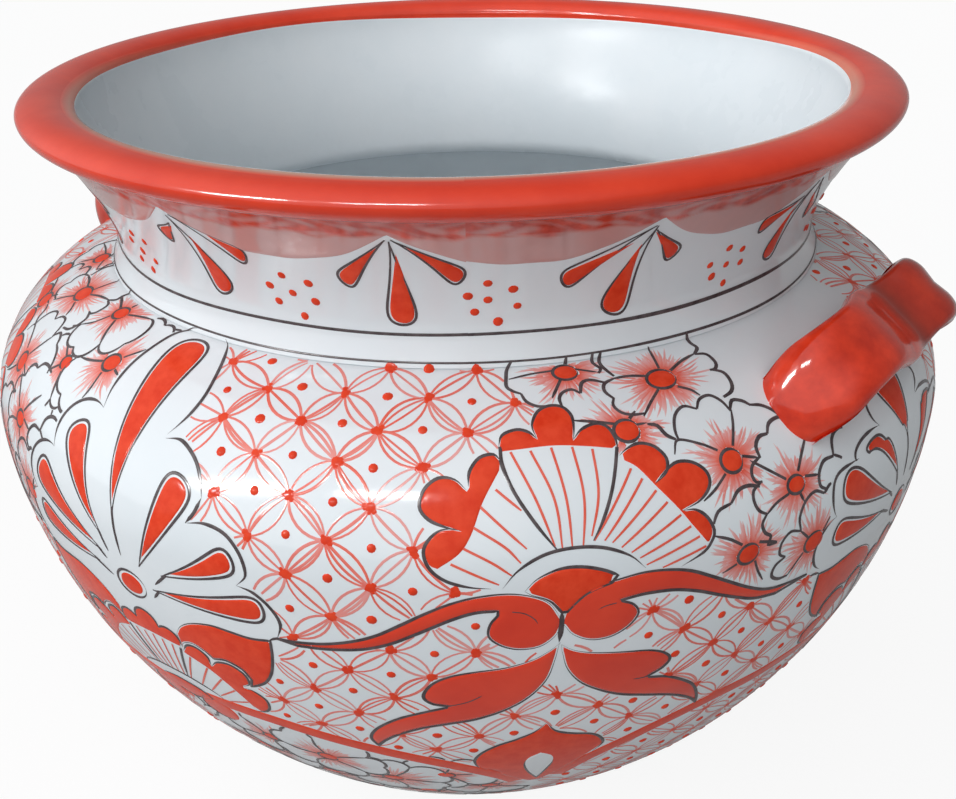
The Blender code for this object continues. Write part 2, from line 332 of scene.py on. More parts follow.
# The strap's dark ground colour is painted shade and painted dark reflection in its valley, and a darker
# tone on the far hump
RED_STRAP = faded(glaze("red_enamel_strap", (0.52, 0.026, 0.009), ENAMEL_REDS[1], 0.014,
                        gloss=0.1, ripple=0.3, shine=0.4), (0.19, 0.032, 0.022))
DARK_LINE = glaze("dark_line_paint", (0.050, 0.037, 0.040), (0.105, 0.082, 0.086), 0.004,
                  gloss=0.2, ripple=0.2, shine=0.3)
BARE_CLAY = glaze("bare_clay_body", (0.46, 0.23, 0.13), (0.62, 0.36, 0.22), 0.003,
                  gloss=0.7, ripple=0.6)


# The pot's own pieces


def clear_selection():
    """Deselect everything, so that the next primitive is worked on alone."""
    if bpy.context.object and bpy.context.object.mode != "OBJECT":
        bpy.ops.object.mode_set(mode="OBJECT")
    bpy.ops.object.select_all(action="DESELECT")


def start_piece(name, add_primitive, places, **counts):
    """Add a primitive alone, name it and bring its points to their places."""
    clear_selection()
    add_primitive(**counts)
    piece = bpy.context.object
    piece.name = name
    for vert, place in zip(piece.data.vertices, places):
        vert.co = place
    return piece


def keep_fade(mesh, fade):
    """Store how thin the glaze is at each point, and where shade or reflection is painted on it."""
    mesh.attributes.new("fade", "FLOAT", "POINT").data.foreach_set("value", fade)


def merge_doubles():
    """Merge the points that lie on each other, in edit mode."""
    bpy.ops.mesh.select_all(action="SELECT")
    bpy.ops.mesh.remove_doubles(threshold=MERGE_DISTANCE)


def settle(piece, material, crease=None):
    """Smooth the piece, glaze it and let it ride on the pot."""
    piece.data.materials.clear()
    piece.data.materials.append(material)
    if crease is None:
        bpy.ops.object.shade_smooth()
    else:
        bpy.ops.object.shade_smooth_by_angle(angle=math.radians(crease))
    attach(piece, "root")
    return piece


def turned(name, outline, material, steps=TURN_STEPS):
    """Turn a closed outline of (radius, level) round the axis, as on a wheel."""
    piece = start_piece(name, bpy.ops.mesh.primitive_circle_add,
                        [(radius * MM, 0.0, level * MM) for radius, level in outline],
                        vertices=len(outline), radius=0.1)
    bpy.ops.object.mode_set(mode="EDIT")
    bpy.ops.mesh.select_all(action="SELECT")
    bpy.ops.mesh.spin(steps=steps, angle=2.0 * math.pi, center=(0, 0, 0), axis=(0, 0, 1))
    merge_doubles()
    bpy.ops.mesh.normals_make_consistent(inside=False)
    bpy.ops.object.mode_set(mode="OBJECT")
    return settle(piece, material, POT_CREASE)


def sunk(outline):
    """An outline drawn in to where the white glaze lies."""
    return outline - GLAZE_SINK * outward_of(outline)


def make_foot():
    """The bare ring that the pot stands on."""
    inner = FOOT_RADIUS - FOOT_WIDTH
    edge = FOOT_EDGE * (1.0 - math.sin(math.radians(45.0)))
    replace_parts(turned("foot_ring_clay", [
        (inner + FOOT_TOP_EASE, BASE_BOTTOM),
        (FOOT_RADIUS - FOOT_TAPER - FOOT_TOP_EASE, BASE_BOTTOM),
        (FOOT_RADIUS - GLAZE_SINK, FOOT_EDGE), (FOOT_RADIUS - edge, edge),
        (FOOT_RADIUS - FOOT_EDGE, 0.0), (inner + FOOT_EDGE, 0.0),
        (inner + edge, edge), (inner, FOOT_EDGE),
    ], BARE_CLAY, HIDDEN_TURN_STEPS), "foot_ring")


def make_base_and_belly():
    """The floor, and the hollow belly that stands on its rim."""
    low = sunk(bowl(0.0, BASE_BOTTOM, BOWL_POINTS))
    below = low[:, 1] < BASE_TOP
    rim_of_base = np.array([np.interp(BASE_TOP, low[:, 1], low[:, 0]), BASE_TOP])
    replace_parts(turned("base_floor", [
        (0.0, BASE_TOP), (0.0, BASE_BOTTOM), *low[below], tuple(rim_of_base)][::-1],
        WHITE_GLAZE, HIDDEN_TURN_STEPS), "base_slab")
    ceiling = shoulder(BELLY_WALL, NECK_BORE + BORE_ROUNDING, SHOULDER_POINTS)
    turn = np.linspace(0.0, math.pi / 2.0, BORE_POINTS)[1:]
    inside_face = np.concatenate([
        bowl(BELLY_WALL, BASE_TOP, BOWL_POINTS)[:-1], ceiling,
        np.stack([ceiling[-1, 0] - (BORE_ROUNDING - GLAZE_SINK) * np.sin(turn),
                  ceiling[-1, 1] + BORE_ROUNDING * (1.0 - np.cos(turn))], -1)])
    belly = np.concatenate([[rim_of_base], low[~below][:-1],
                            sunk(shoulder(0.0, SHOULDER_END, SHOULDER_POINTS)), inside_face[::-1]])
    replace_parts(turned("belly_glazed", belly, WHITE_GLAZE), "belly_shell")


def make_neck_and_lip():
    """The neck with its flare, and the bead that is rolled over it."""
    sunk_wall = sunk(WALL)
    neck_out, lip = sunk_wall[NECK_FIRST:LIP_FIRST], sunk_wall[LIP_FIRST:MOUTH_POINT + 1]
    mouth = WALL[MOUTH_POINT:-CORNER_POINTS] + (GLAZE_SINK, 0.0)
    mouth_edge = (np.interp(-NECK_TOP, -mouth[:, 1], mouth[:, 0]), NECK_TOP)
    neck = np.concatenate([
        [[neck_out[0, 0], SHOULDER_TOP]], neck_out, [mouth_edge],
        mouth[mouth[:, 1] < NECK_TOP], [[NECK_BORE + GLAZE_SINK, SHOULDER_TOP]]])
    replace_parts(turned("neck_glazed", neck, WHITE_GLAZE), "neck_collar")
    bead = np.concatenate([
        [[neck_out[-1, 0], FLARE_TOP]], lip, mouth[mouth[:, 1] > NECK_TOP][1:], [mouth_edge]])
    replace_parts(turned("lip_enamelled", bead, RED_ENAMEL), "rolled_lip")


make_foot()
make_base_and_belly()
make_neck_and_lip()


# Handles

# A strap's form, in millimetres, and its shares: how far out and up the valley climbs to a hump,
# the hump falls to the heel, and the heel lies
STRAP_WIDTH = 28.0
STRAP_THICKNESS = 11.0
STRAP_END_WIDTH = 34.5
STRAP_REACH = 54.0
STRAP_ROOT_DEPTH = 12.0
STRAP_FALL_SHARES = (0.60, 0.72)
STRAP_HEEL_SHARES = (0.96, 0.05)
STRAP_SINK = 1.8 * GLAZE_SINK
HANDLE_PLACE = math.radians(45.5)
HUMP_HEIGHT = 18.0
HUMP_OFFSET = 27.0
VALLEY_HEIGHT = 11.5
VALLEY_WIDTH = 33.0
VALLEY_WIDTH_SHARE = 0.27
VALLEY_CLIMB_SHARES = (0.42, 0.38)
VALLEY_SHIFT = 9.0
VALLEY_REACH = 26.0
THUMB_GROOVE = 2.2
THUMB_GROOVE_SHARE = 0.36
THUMB_GROOVE_FADE_SHARE = 0.2
END_CROWN = 5.0
END_CROWN_FROM = 0.55
END_ROUND_FROM = 0.84
END_ROUND = 0.65
SECTION_SQUARENESS = 3.2
STRAP_STATIONS = 96
SECTION_POINTS = 48

# Painted shade and painted dark reflection in the valley, and the glaze painted a little darker on the
# hump beyond it
VALLEY_PAINTED_SHADE, VALLEY_SHADE_SHIFT, VALLEY_SHADE_REACH = 0.75, 1.0, 7.0
HUMP_DARK, HUMP_DARK_RUN = 0.4, 12.0
DARKEST = 0.85


def strap_route():
    """Points (along, away) of the strap's centre line at even steps."""
    climb = HUMP_HEIGHT - VALLEY_HEIGHT
    fall = STRAP_REACH - HUMP_OFFSET
    half = [(0.0, VALLEY_HEIGHT),
            (VALLEY_CLIMB_SHARES[0] * HUMP_OFFSET, VALLEY_HEIGHT + VALLEY_CLIMB_SHARES[1] * climb),
            (HUMP_OFFSET, HUMP_HEIGHT),
            (HUMP_OFFSET + STRAP_FALL_SHARES[0] * fall, STRAP_FALL_SHARES[1] * HUMP_HEIGHT),
            (STRAP_HEEL_SHARES[0] * STRAP_REACH, STRAP_HEEL_SHARES[1] * HUMP_HEIGHT),
            (STRAP_REACH, -STRAP_ROOT_DEPTH)]
    knots = [(-along, away) for along, away in half[:0:-1]] + half
    knots = [(along + VALLEY_SHIFT * math.exp(-(along / VALLEY_REACH) ** 2), away - STRAP_SINK)
             for along, away in knots]
    fine = smooth_line(knots, 0.5)
    run = np.concatenate([[0.0], np.cumsum(np.linalg.norm(np.diff(fine, axis=0), axis=1))])
    even = np.linspace(0.0, run[-1], STRAP_STATIONS)
    return np.stack([np.interp(even, run, fine[:, k]) for k in (0, 1)], -1)


def smooth_line(points, step):
    """A smooth line through a few points, with about one step between the points returned."""
    knots = np.array(points, float)
    if len(knots) == 2:
        count = max(2, int(np.linalg.norm(knots[1] - knots[0]) / step) + 1)
        return knots[0] + (knots[1] - knots[0]) * np.linspace(0, 1, count)[:, None]
    padded = np.concatenate([2 * knots[:1] - knots[1:2], knots, 2 * knots[-1:] - knots[-2:-1]])
    pieces = []
    for before, start, end, after in zip(padded, padded[1:], padded[2:], padded[3:]):
        count = max(2, int(np.linalg.norm(end - start) / step) + 1)
        t = np.linspace(0.0, 1.0, count, endpoint=False)[:, None]
        lead, trail = (end - before) * 0.5, (after - start) * 0.5
        pieces.append((2 * t ** 3 - 3 * t ** 2 + 1) * start + (t ** 3 - 2 * t ** 2 + t) * lead
                      + (3 * t ** 2 - 2 * t ** 3) * end + (t ** 3 - t ** 2) * trail)
    return np.concatenate([*pieces, knots[-1:]])


def strap_section(share):
    """Points (across, out) of the strap's section at shares of its reach, a row for each."""
    angle = 2.0 * math.pi * np.arange(SECTION_POINTS + 1) / SECTION_POINTS
    c, s = np.cos(angle), np.sin(angle)
    power = 2.0 / SECTION_SQUARENESS
    half_width = 0.5 * (STRAP_WIDTH + (STRAP_END_WIDTH - STRAP_WIDTH) * share ** 4
                        + (VALLEY_WIDTH - STRAP_WIDTH) * np.exp(-(share / VALLEY_WIDTH_SHARE) ** 2))
    rounding = np.clip((share - END_ROUND_FROM) / (1.0 - END_ROUND_FROM), 0.0, 1.0)
    half_width = half_width * np.sqrt(1.0 - (END_ROUND * rounding) ** 2)
    side = half_width * np.sign(c) * np.abs(c) ** power
    out = 0.5 * STRAP_THICKNESS * np.sign(s) * np.abs(s) ** power * np.ones_like(side)
    groove = side / (THUMB_GROOVE_SHARE * half_width)
    hollow = (THUMB_GROOVE * share ** 1.5 * np.clip((1.0 - share) / THUMB_GROOVE_FADE_SHARE, 0.0, 1.0)
              * np.exp(-groove * groove))
    crown = np.clip((share - END_CROWN_FROM) / (1.0 - END_CROWN_FROM), 0.0, 1.0) ** 2
    crown = END_CROWN * crown * (side / half_width) ** 2
    return side, out - np.where(s > 0.0, hollow + crown, 0.0)


def strap_handle(name, turn, node):
    """A strap with two finger humps. Its ends are pressed into the shoulder."""
    out_share, up_share = math.cos(HANDLE_PLACE), math.sin(HANDLE_PLACE)
    seat = np.array([SHOULDER_CENTRE + SHOULDER_REACH * out_share, 0.0,
                     BELLY_LEVEL + SHOULDER_RISE * up_share])
    away = np.array([out_share / SHOULDER_REACH, 0.0, up_share / SHOULDER_RISE])
    away /= np.linalg.norm(away)
    across = np.array([away[2], 0.0, -away[0]])
    along = np.array([0.0, 1.0, 0.0])
    route = strap_route()
    run = np.gradient(route, axis=0)
    run /= np.linalg.norm(run, axis=1)[:, None]
    side, out = strap_section(np.abs(route[:, :1]) / STRAP_REACH)
    lean = -run[:, 1:] * along + run[:, :1] * away
    centre = seat + route[:, :1] * along + route[:, 1:] * away
    places = centre[:, None] + side[..., None] * across + out[..., None] * lean[:, None]
    turn_about = Matrix.Rotation(turn, 3, "Z")
    piece = start_piece(name, bpy.ops.mesh.primitive_grid_add,
                        [turn_about @ Vector(place * MM) for place in places.reshape(-1, 3)],
                        x_subdivisions=SECTION_POINTS, y_subdivisions=STRAP_STATIONS - 1)
    # Painted shade in the valley, and a darker tone over the far hump
    past = route[:, 0] - VALLEY_SHIFT
    dark = (VALLEY_PAINTED_SHADE * np.exp(-((past - VALLEY_SHADE_SHIFT) / VALLEY_SHADE_REACH) ** 2)
            + HUMP_DARK * np.clip(past / HUMP_DARK_RUN, 0.0, 1.0))
    keep_fade(piece.data, np.repeat(np.clip(dark, 0.0, DARKEST), SECTION_POINTS + 1))
    bpy.ops.object.mode_set(mode="EDIT")
    merge_doubles()
    bpy.ops.mesh.select_all(action="DESELECT")
    bpy.ops.mesh.select_non_manifold()
    bpy.ops.mesh.fill_holes(sides=0)
    bpy.ops.mesh.select_all(action="SELECT")
    bpy.ops.mesh.normals_make_consistent(inside=False)
    bpy.ops.object.mode_set(mode="OBJECT")
    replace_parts(settle(piece, RED_STRAP, STRAP_CREASE), node)


strap_handle("strap_right", 0.0, "handle_right")
strap_handle("strap_left", math.pi, "handle_left")


# Painting tools


def side_step(path):
    """One millimetre to the left of a line, at each of its points, in pattern measure."""
    narrow = narrowing(path[:, 1])
    step = np.gradient(path, axis=0)
    step[:, 0] *= narrow
    step /= np.linalg.norm(step, axis=1)[:, None] + 1e-9
    return np.stack([-step[:, 1] / narrow, step[:, 0]], -1)


def arc(start, end, bulge, step=1.5):
    """A round stretch between two points. It bulges to its left by a share of its length."""
    a, b = np.array(start, float), np.array(end, float)
    half = 2.0 * math.atan(2.0 * abs(bulge))
    chord = np.linalg.norm(b - a)
    radius = chord / (2.0 * math.sin(half))
    count = max(4, int(2.0 * half * radius / step))
    angle = np.linspace(-half, half, count)
    along = (radius * np.sin(angle) + chord / 2.0)[:, None]
    out = (radius * (np.cos(angle) - math.cos(half)))[:, None] * math.copysign(1.0, bulge)
    run = (b - a) / chord
    return a + along * run + out * np.array([-run[1], run[0]])


def chain(*lines):
    """Lines joined end to end."""
    return np.concatenate(lines)


def mirrored(points, about):
    """Points turned over about an upright line."""
    points = np.array(points, float)
    return np.stack([2.0 * about - points[:, 0], points[:, 1]], -1)


def inside(points, outline):
    """Which points lie inside an outline."""
    x, y = points[:, 0, None], points[:, 1, None]
    start, end = outline, np.roll(outline, -1, axis=0)
    spans = (start[:, 1] > y) != (end[:, 1] > y)
    rise = end[:, 1] - start[:, 1]
    rise = np.where(rise == 0.0, 1e-9, rise)
    crossing = start[:, 0] + (y - start[:, 1]) * (end[:, 0] - start[:, 0]) / rise
    return (spans & (x < crossing)).sum(1) % 2 == 1


def visible(path, covers, zone=None):
    """The stretches of a line inside the zone that no cover hides."""
    shown = np.ones(len(path), bool) if zone is None else inside(path, zone)
    low, high = path.min(0), path.max(0)
    for cover in covers:
        if (cover.min(0) < high).all() and (cover.max(0) > low).all():
            shown &= ~inside(path, cover)
    edges = np.flatnonzero(np.diff(np.concatenate([[0], shown.astype(int), [0]])))
    return [path[a:b] for a, b in zip(edges[::2], edges[1::2]) if b - a > 2]


def waves(along, *parts):
    """The unsteady hand: a sum of waves, each a height, a length and where it starts."""
    return sum(height * np.sin(along / length + start) for height, length, start in parts)


# Points across a raised line
STROKE_ROWS = 3

# How a filled shape is meshed: its outline's shortest step, the rows along its edge as shares of
# the soft edge, how much of that stays clear of the outline, and the grid in its middle
SHORTEST_STEP = 0.12
EDGE_ROWS = (0.35, 1.0)
ROW_CLEARANCE = 0.8
GRID_CLEARANCE = 1.6
GRID_START = 0.7
GRID_ROW_SHARE = 0.9
INSET_KEPT = 0.6

# A dot's low edge, and its shoulder's shares of the radius and of the height
DOT_EDGE = 0.02
DOT_SHOULDER = (0.72, 0.75)

# The copies stay level at the neck's line, and this far below it they wander freely
NECK_EASE_TOP, NECK_EASE = 80.0, 30.0


class Brush:
    """Marks of one glaze: flat points, each with its lift, and the faces between them."""

    def __init__(self):
        self.points, self.quads, self.triangles, self.count = [], [], [], 0

    def lay(self, flat, lift, quads=None, triangles=None, fade=0.0):
        """Add points and faces. fade is 1 where the glaze is so thin that the ground shows."""
        self.points.append(np.column_stack([flat, lift, fade * np.ones(len(flat))]))
        for faces, store in ((quads, self.quads), (triangles, self.triangles)):
            if faces is not None and len(faces):
                store.append(np.array(faces) + self.count)
        self.count += len(flat)

    def stroke(self, path, width, crest=0.26, edge=0.1, thin=(0.0, 0.0), fade=(0.0, 0.0)):
        """A raised line. thin gives the width at its ends as a share, over a quarter of it."""
        if len(path) < 3:
            return
        t = np.linspace(0.0, 1.0, len(path))
        swell = np.interp(t, (0.0, 0.25, 0.75, 1.0), (thin[0], 1.0, 1.0, thin[1]))
        half = 0.5 * width * np.clip(swell, 0.05, None)
        left = side_step(path)
        shares = np.linspace(-1.0, 1.0, STROKE_ROWS)
        flat = path[:, None] + shares[None, :, None] * (half[:, None] * left)[:, None]
        lift = edge + (crest - edge) * (1.0 - np.abs(shares) ** 2.5) * np.ones((len(path), 1))
        lift *= np.clip(swell, 0.35, 1.0)[:, None]
        grid = np.arange(len(path) * STROKE_ROWS).reshape(-1, STROKE_ROWS)
        quads = np.stack([grid[:-1, :-1], grid[1:, :-1], grid[1:, 1:], grid[:-1, 1:]], -1)
        shade = np.repeat(fade[0] + (fade[1] - fade[0]) * t, STROKE_ROWS)
        self.lay(flat.reshape(-1, 2), lift.ravel(), quads.reshape(-1, 4), fade=shade)

    def patch(self, outline, lift=0.2, soft=0.8, grid=3.5, edge=0.0, inset=0.0, fade=None):
        """A filled shape that swells from its edge to its full lift."""
        outline = np.array(outline, float)
        step = np.linalg.norm(np.roll(outline, -1, axis=0) - outline, axis=1)
        outline = outline[step > SHORTEST_STEP]
        if signed_area(outline) < 0.0:
            outline = outline[::-1]
        if inset:
            drawn_in = outline + inset * inward_of(outline)
            outline = drawn_in[gap(drawn_in, outline) > INSET_KEPT * inset]
        low, high = outline.min(0), outline.max(0)
        lattice = np.stack(np.meshgrid(
            np.arange(low[0] + GRID_START, high[0], grid),
            np.arange(low[1] + GRID_START, high[1], grid * GRID_ROW_SHARE)), -1)
        lattice[1::2, :, 0] += grid / 2.0
        lattice = lattice.reshape(-1, 2)
        lattice = lattice[inside(lattice, outline)]
        lattice = lattice[gap(lattice, outline) > soft * GRID_CLEARANCE]
        inward, rows = inward_of(outline), []
        for share in EDGE_ROWS:
            row = outline + inward * soft * share
            clear = gap(row, outline) > soft * share * ROW_CLEARANCE
            rows.append(row[inside(row, outline) & clear])
        points = np.concatenate([outline, *rows, lattice])
        found = delaunay_2d_cdt([Vector(p) for p in points], [], [list(range(len(outline)))], 1, 1e-4)
        flat = np.array([v[:] for v in found[0]])
        triangles = [face for face in found[2] if len(face) == 3]
        share = np.clip(gap(flat, outline) / soft, 0.0, 1.0)
        shade = 0.0 if fade is None else fade[0] + (fade[1] - fade[0]) * (1.0 - share)
        swell = edge + (lift - edge) * np.sqrt(share * (2.0 - share))
        self.lay(flat, swell, triangles=triangles, fade=shade)

    def dot(self, centre, radius, height=0.45, sides=9):
        """A small raised drop of glaze."""
        narrow = narrowing(centre[1])
        angle = 2.0 * math.pi * np.arange(sides) / sides
        ring = np.stack([np.cos(angle) / narrow, np.sin(angle)], -1)
        flat = np.concatenate([ring * radius * share + np.array(centre)
                               for share in (1.0, DOT_SHOULDER[0])] + [np.array([centre])])
        lift = np.concatenate([np.full(sides, DOT_EDGE), np.full(sides, DOT_SHOULDER[1] * height),
                               [height]])
        k = np.arange(sides)
        nxt = (k + 1) % sides
        self.lay(flat, lift, np.stack([k, nxt, nxt + sides, k + sides], -1),
                 np.stack([k + sides, nxt + sides, np.full(sides, 2 * sides)], -1))

    def copy_turned(self, turns):
        """The marks again at other places round the pot, each a little differently drawn."""
        points = np.concatenate(self.points)
        copies = []
        for turn in turns:
            moved = points.copy()
            if turn % 4:
                x, y = points[:, 0], points[:, 1]
                moved[:, 0] += waves(y, (0.9, 23.0, turn)) + waves(x, (0.6, 31.0, 2.0 * turn))
                moved[:, 1] += waves(x, (0.8, 27.0, 1.7 * turn)) * np.clip(
                    (NECK_EASE_TOP - y) / NECK_EASE, 0, 1)
            moved[:, 0] += QUARTER * turn
            copies.append(moved)
        return copies

    def make(self, name, material, slot, turns):
        """Lay the marks on the pot as one piece."""
        copies = self.copy_turned(turns)
        quads = np.concatenate(self.quads) if self.quads else np.zeros((0, 4), int)
        triangles = np.concatenate(self.triangles) if self.triangles else np.zeros((0, 3), int)
        points = np.concatenate(copies)
        faces = []
        for k in range(len(copies)):
            faces += (quads + k * self.count).tolist() + (triangles + k * self.count).tolist()
        mesh = bpy.data.meshes.new(name)
        mesh.from_pydata(wrap(points[:, 0], points[:, 1], points[:, 2]).tolist(), [], faces)
        keep_fade(mesh, points[:, 3])
        piece = bpy.data.objects.new(name, mesh)
        bpy.context.scene.collection.objects.link(piece)
        clear_selection()
        piece.select_set(True)
        bpy.context.view_layer.objects.active = piece
        settle(piece, material)


def signed_area(outline):
    """Twice the area of an outline, positive when it runs anticlockwise."""
    nxt = np.roll(outline, -1, axis=0)
    return float((outline[:, 0] * nxt[:, 1] - nxt[:, 0] * outline[:, 1]).sum())


def inward_of(outline):
    """One millimetre inward at each point of an anticlockwise outline."""
    run = np.roll(outline, -1, axis=0) - np.roll(outline, 1, axis=0)
    run /= np.linalg.norm(run, axis=1)[:, None] + 1e-9
    return np.stack([-run[:, 1], run[:, 0]], -1)


def gap(points, outline):
    """How far points lie from an outline."""
    start, end = outline, np.roll(outline, -1, axis=0)
    run = end - start
    length = (run ** 2).sum(1) + 1e-12
    away = points[:, None] - start
    share = np.clip((away * run).sum(-1) / length, 0.0, 1.0)
    return np.sqrt(((away - share[..., None] * run) ** 2).sum(-1)).min(1)


def line(*points):
    """A smooth line through given points."""
    return smooth_line(points, 1.5)


def teardrop(tip, end, half, bend=0.0, power=0.8):
    """A drop's outline from its tip round its thick end and back."""
    tip, end = np.array(tip, float), np.array(end, float)
    length = np.linalg.norm(end - tip)
    t = 1.0 - np.linspace(1.0, 0.0, max(10, int(length / 2.0))) ** 2
    blunt = max(3.0, 2.0 * length / half)
    width = t ** power * np.sqrt(1.0 - t ** blunt)
    width *= half / width.max()
    run = (end - tip) / length
    left = np.array([-run[1], run[0]])
    middle = tip + t[:, None] * (end - tip) + (bend * np.sin(math.pi * t))[:, None] * left
    return np.concatenate([middle - width[:, None] * left, (middle + width[:, None] * left)[-2:0:-1]])


def oval(centre, rx, ry, sides=28):
    """An oval outline."""
    angle = 2.0 * math.pi * np.arange(sides) / sides
    return np.stack([centre[0] + rx * np.cos(angle), centre[1] + ry * np.sin(angle)], -1)


def polygon(*points):
    """An outline with straight sides."""
    return np.array(points, float)


def closed(outline):
    """An outline with its first points again at its end, for a stroke right round it."""
    return np.concatenate([outline, outline[:2]])


# Width of the dark outlines, in millimetres
LINE = 1.15


# Lily

# The upright lines about which the lily and the small fan under it are drawn
LILY_MIDDLE = -131.5
SMALL_FAN_MIDDLE = -128.0

# The lily under a handle is drawn lower above a level, by a share that eases in
SHORT_LILY_LEVEL = 8.0
SHORT_LILY_SHARE = 0.62
SHORT_LILY_EASE = 15.0

# How full a red drop is within its outline
DROP_FULLNESS = 0.9


def draw_lily(red, dark, short):
    """White petals with red drops, over two red fields. The lily under a handle is short."""
    def lower(points):
        points = np.array(points, float)
        if short:
            above = np.clip(points[:, 1] - SHORT_LILY_LEVEL, 0.0, None)
            points[:, 1] -= SHORT_LILY_SHARE * above * np.clip(above / SHORT_LILY_EASE, 0.0, 1.0)
        return points

    def at(*points):
        return lower([(LILY_MIDDLE + u, s) for u, s in points])

    top_left = smooth_line(at((-10, 82.5), (-14.5, 81.5), (-20, 77), (-22.5, 68), (-23.8, 58),
                              (-23, 48), (-20.5, 40)), 1.5)
    top_right = smooth_line(at((9.5, 82), (13.5, 79), (18, 72.5), (21, 65), (22.5, 57), (21.5, 50),
                               (19, 44.5), (16, 40)), 1.5)
    left = [lower(arc((-152, 40), (-170, 19), -0.36)), lower(arc((-170, 19), (-184, -3), -0.36)),
            arc((-184, -3), (-187, -24), -0.36)]
    right = [lower(line((-115.5, 38.5), (-109, 39.5), (-103, 37), (-98, 33), (-94.5, 27.5), (-93, 23))),
             lower(line((-93, 23), (-95, 17.5), (-98, 13.5))),
             lower(line((-98, 13.5), (-90, 15), (-82, 13), (-76.5, 7), (-75, 0), (-79, -5))),
             line((-79, -5), (-73, -6.5), (-67.5, -11.5), (-64.8, -18), (-67, -25))]
    for edge in (top_left, top_right, *left, *right):
        dark.stroke(edge, LINE * 1.15)
    if short:
        dark.stroke(smooth_line(chain(top_left[:1] + (1.0, 0.0), at((0, 84.5)),
                                      top_right[:1] - (1.0, 0.0)), 1.5), LINE)
    drops = (((0, 12), (-3, 77), 9.7, (1.5, -9), 0.0), ((-10, 0), (-28.5, 31), 5.6, (-5.5, -10), 1.0),
             ((-14, -9), (-47.5, 9), 6.0, (-7.5, -14), 1.5),
             ((-18, -16.5), (-50.5, -10.5), 4.4, (-6.5, -21), 1.2),
             ((12.5, -6), (29, 26.5), 5.6, (12, -10.5), -1.0),
             ((25, -8.5), (50.5, 4.5), 4.0, (16.5, -16), -1.0),
             ((19.5, -18.5), (60, -13.5), 4.6, (14, -23), -1.0))
    for tip, end, half, tail, bend in drops:
        half *= DROP_FULLNESS
        red.patch(at(*teardrop(tip, end, half, bend, 0.95)), 0.24)
        run = np.array(end, float) - tip
        run /= np.linalg.norm(run)
        ring = teardrop(np.array(tip) - 5.0 * run, np.array(end) + 1.3 * run, half + 1.3, bend, 1.05)
        dark.stroke(at(*closed(ring)), LINE, thin=(0.5, 0.5))
        dark.stroke(smooth_line(at(tail, np.array(tip) - 2.0 * run), 1.5), LINE, thin=(0.3, 1.0))
    heart = (LILY_MIDDLE + 3.3, -20.8)
    red.patch(oval(heart, 5.4, 4.4), 0.24)
    dark.stroke(closed(oval(heart, 7.2, 5.8)), LINE)

    field = chain(line((-112.5, -38.5), (-109, -33.5), (-103, -29.5), (-94, -27), (-86, -27.3),
                       (-78, -28), (-70, -27)),
                  line((-70, -27), (-71, -36), (-73.5, -45), (-78, -52), (-85, -57))[1:],
                  line((-83.5, -52), (-86, -47), (-92, -44.5), (-98, -46)),
                  line((-98, -46), (-101, -43), (-106, -41), (-111, -43), (-112.5, -46))[1:])
    for shape in (field, mirrored(field, SMALL_FAN_MIDDLE)):
        red.patch(shape, 0.2, inset=0.5)
        dark.stroke(closed(shape), LINE)
    dark.stroke(line((-70, -26.5), (-67, -25), (-62, -25.3)), LINE, thin=(0.5, 0.3))
    dark.stroke(mirrored(line((-70, -26.5), (-67, -25.5), (-64, -25)), SMALL_FAN_MIDDLE), LINE)
    foot = line((-67, -25), (-73, -45), (-85, -57))
    return chain(top_left[::-1], top_right, *right, foot, [(SMALL_FAN_MIDDLE, -40)],
                 mirrored(foot, SMALL_FAN_MIDDLE)[::-1], *[part[::-1] for part in left[::-1]])


# Fans


def draw_fan(red, dark, thin, lobes, tips, stripes, blades, arc_line, dome):
    """A scalloped fan: red tips under dark lobes, thin stripes, a white arc and a red dome."""
    for outline in lobes:
        dark.stroke(outline, LINE)
    for outline in tips:
        red.patch(outline, 0.2, inset=0.4)
    for stripe in stripes:
        thin.stroke(stripe, 0.85, crest=0.14, thin=(1.0, 0.6))
    for blade in blades:
        dark.stroke(blade, LINE, thin=(1.0, 0.4))
    dark.stroke(arc_line, LINE)
    red.patch(dome, 0.22, inset=0.5)
    dark.stroke(closed(dome), LINE)


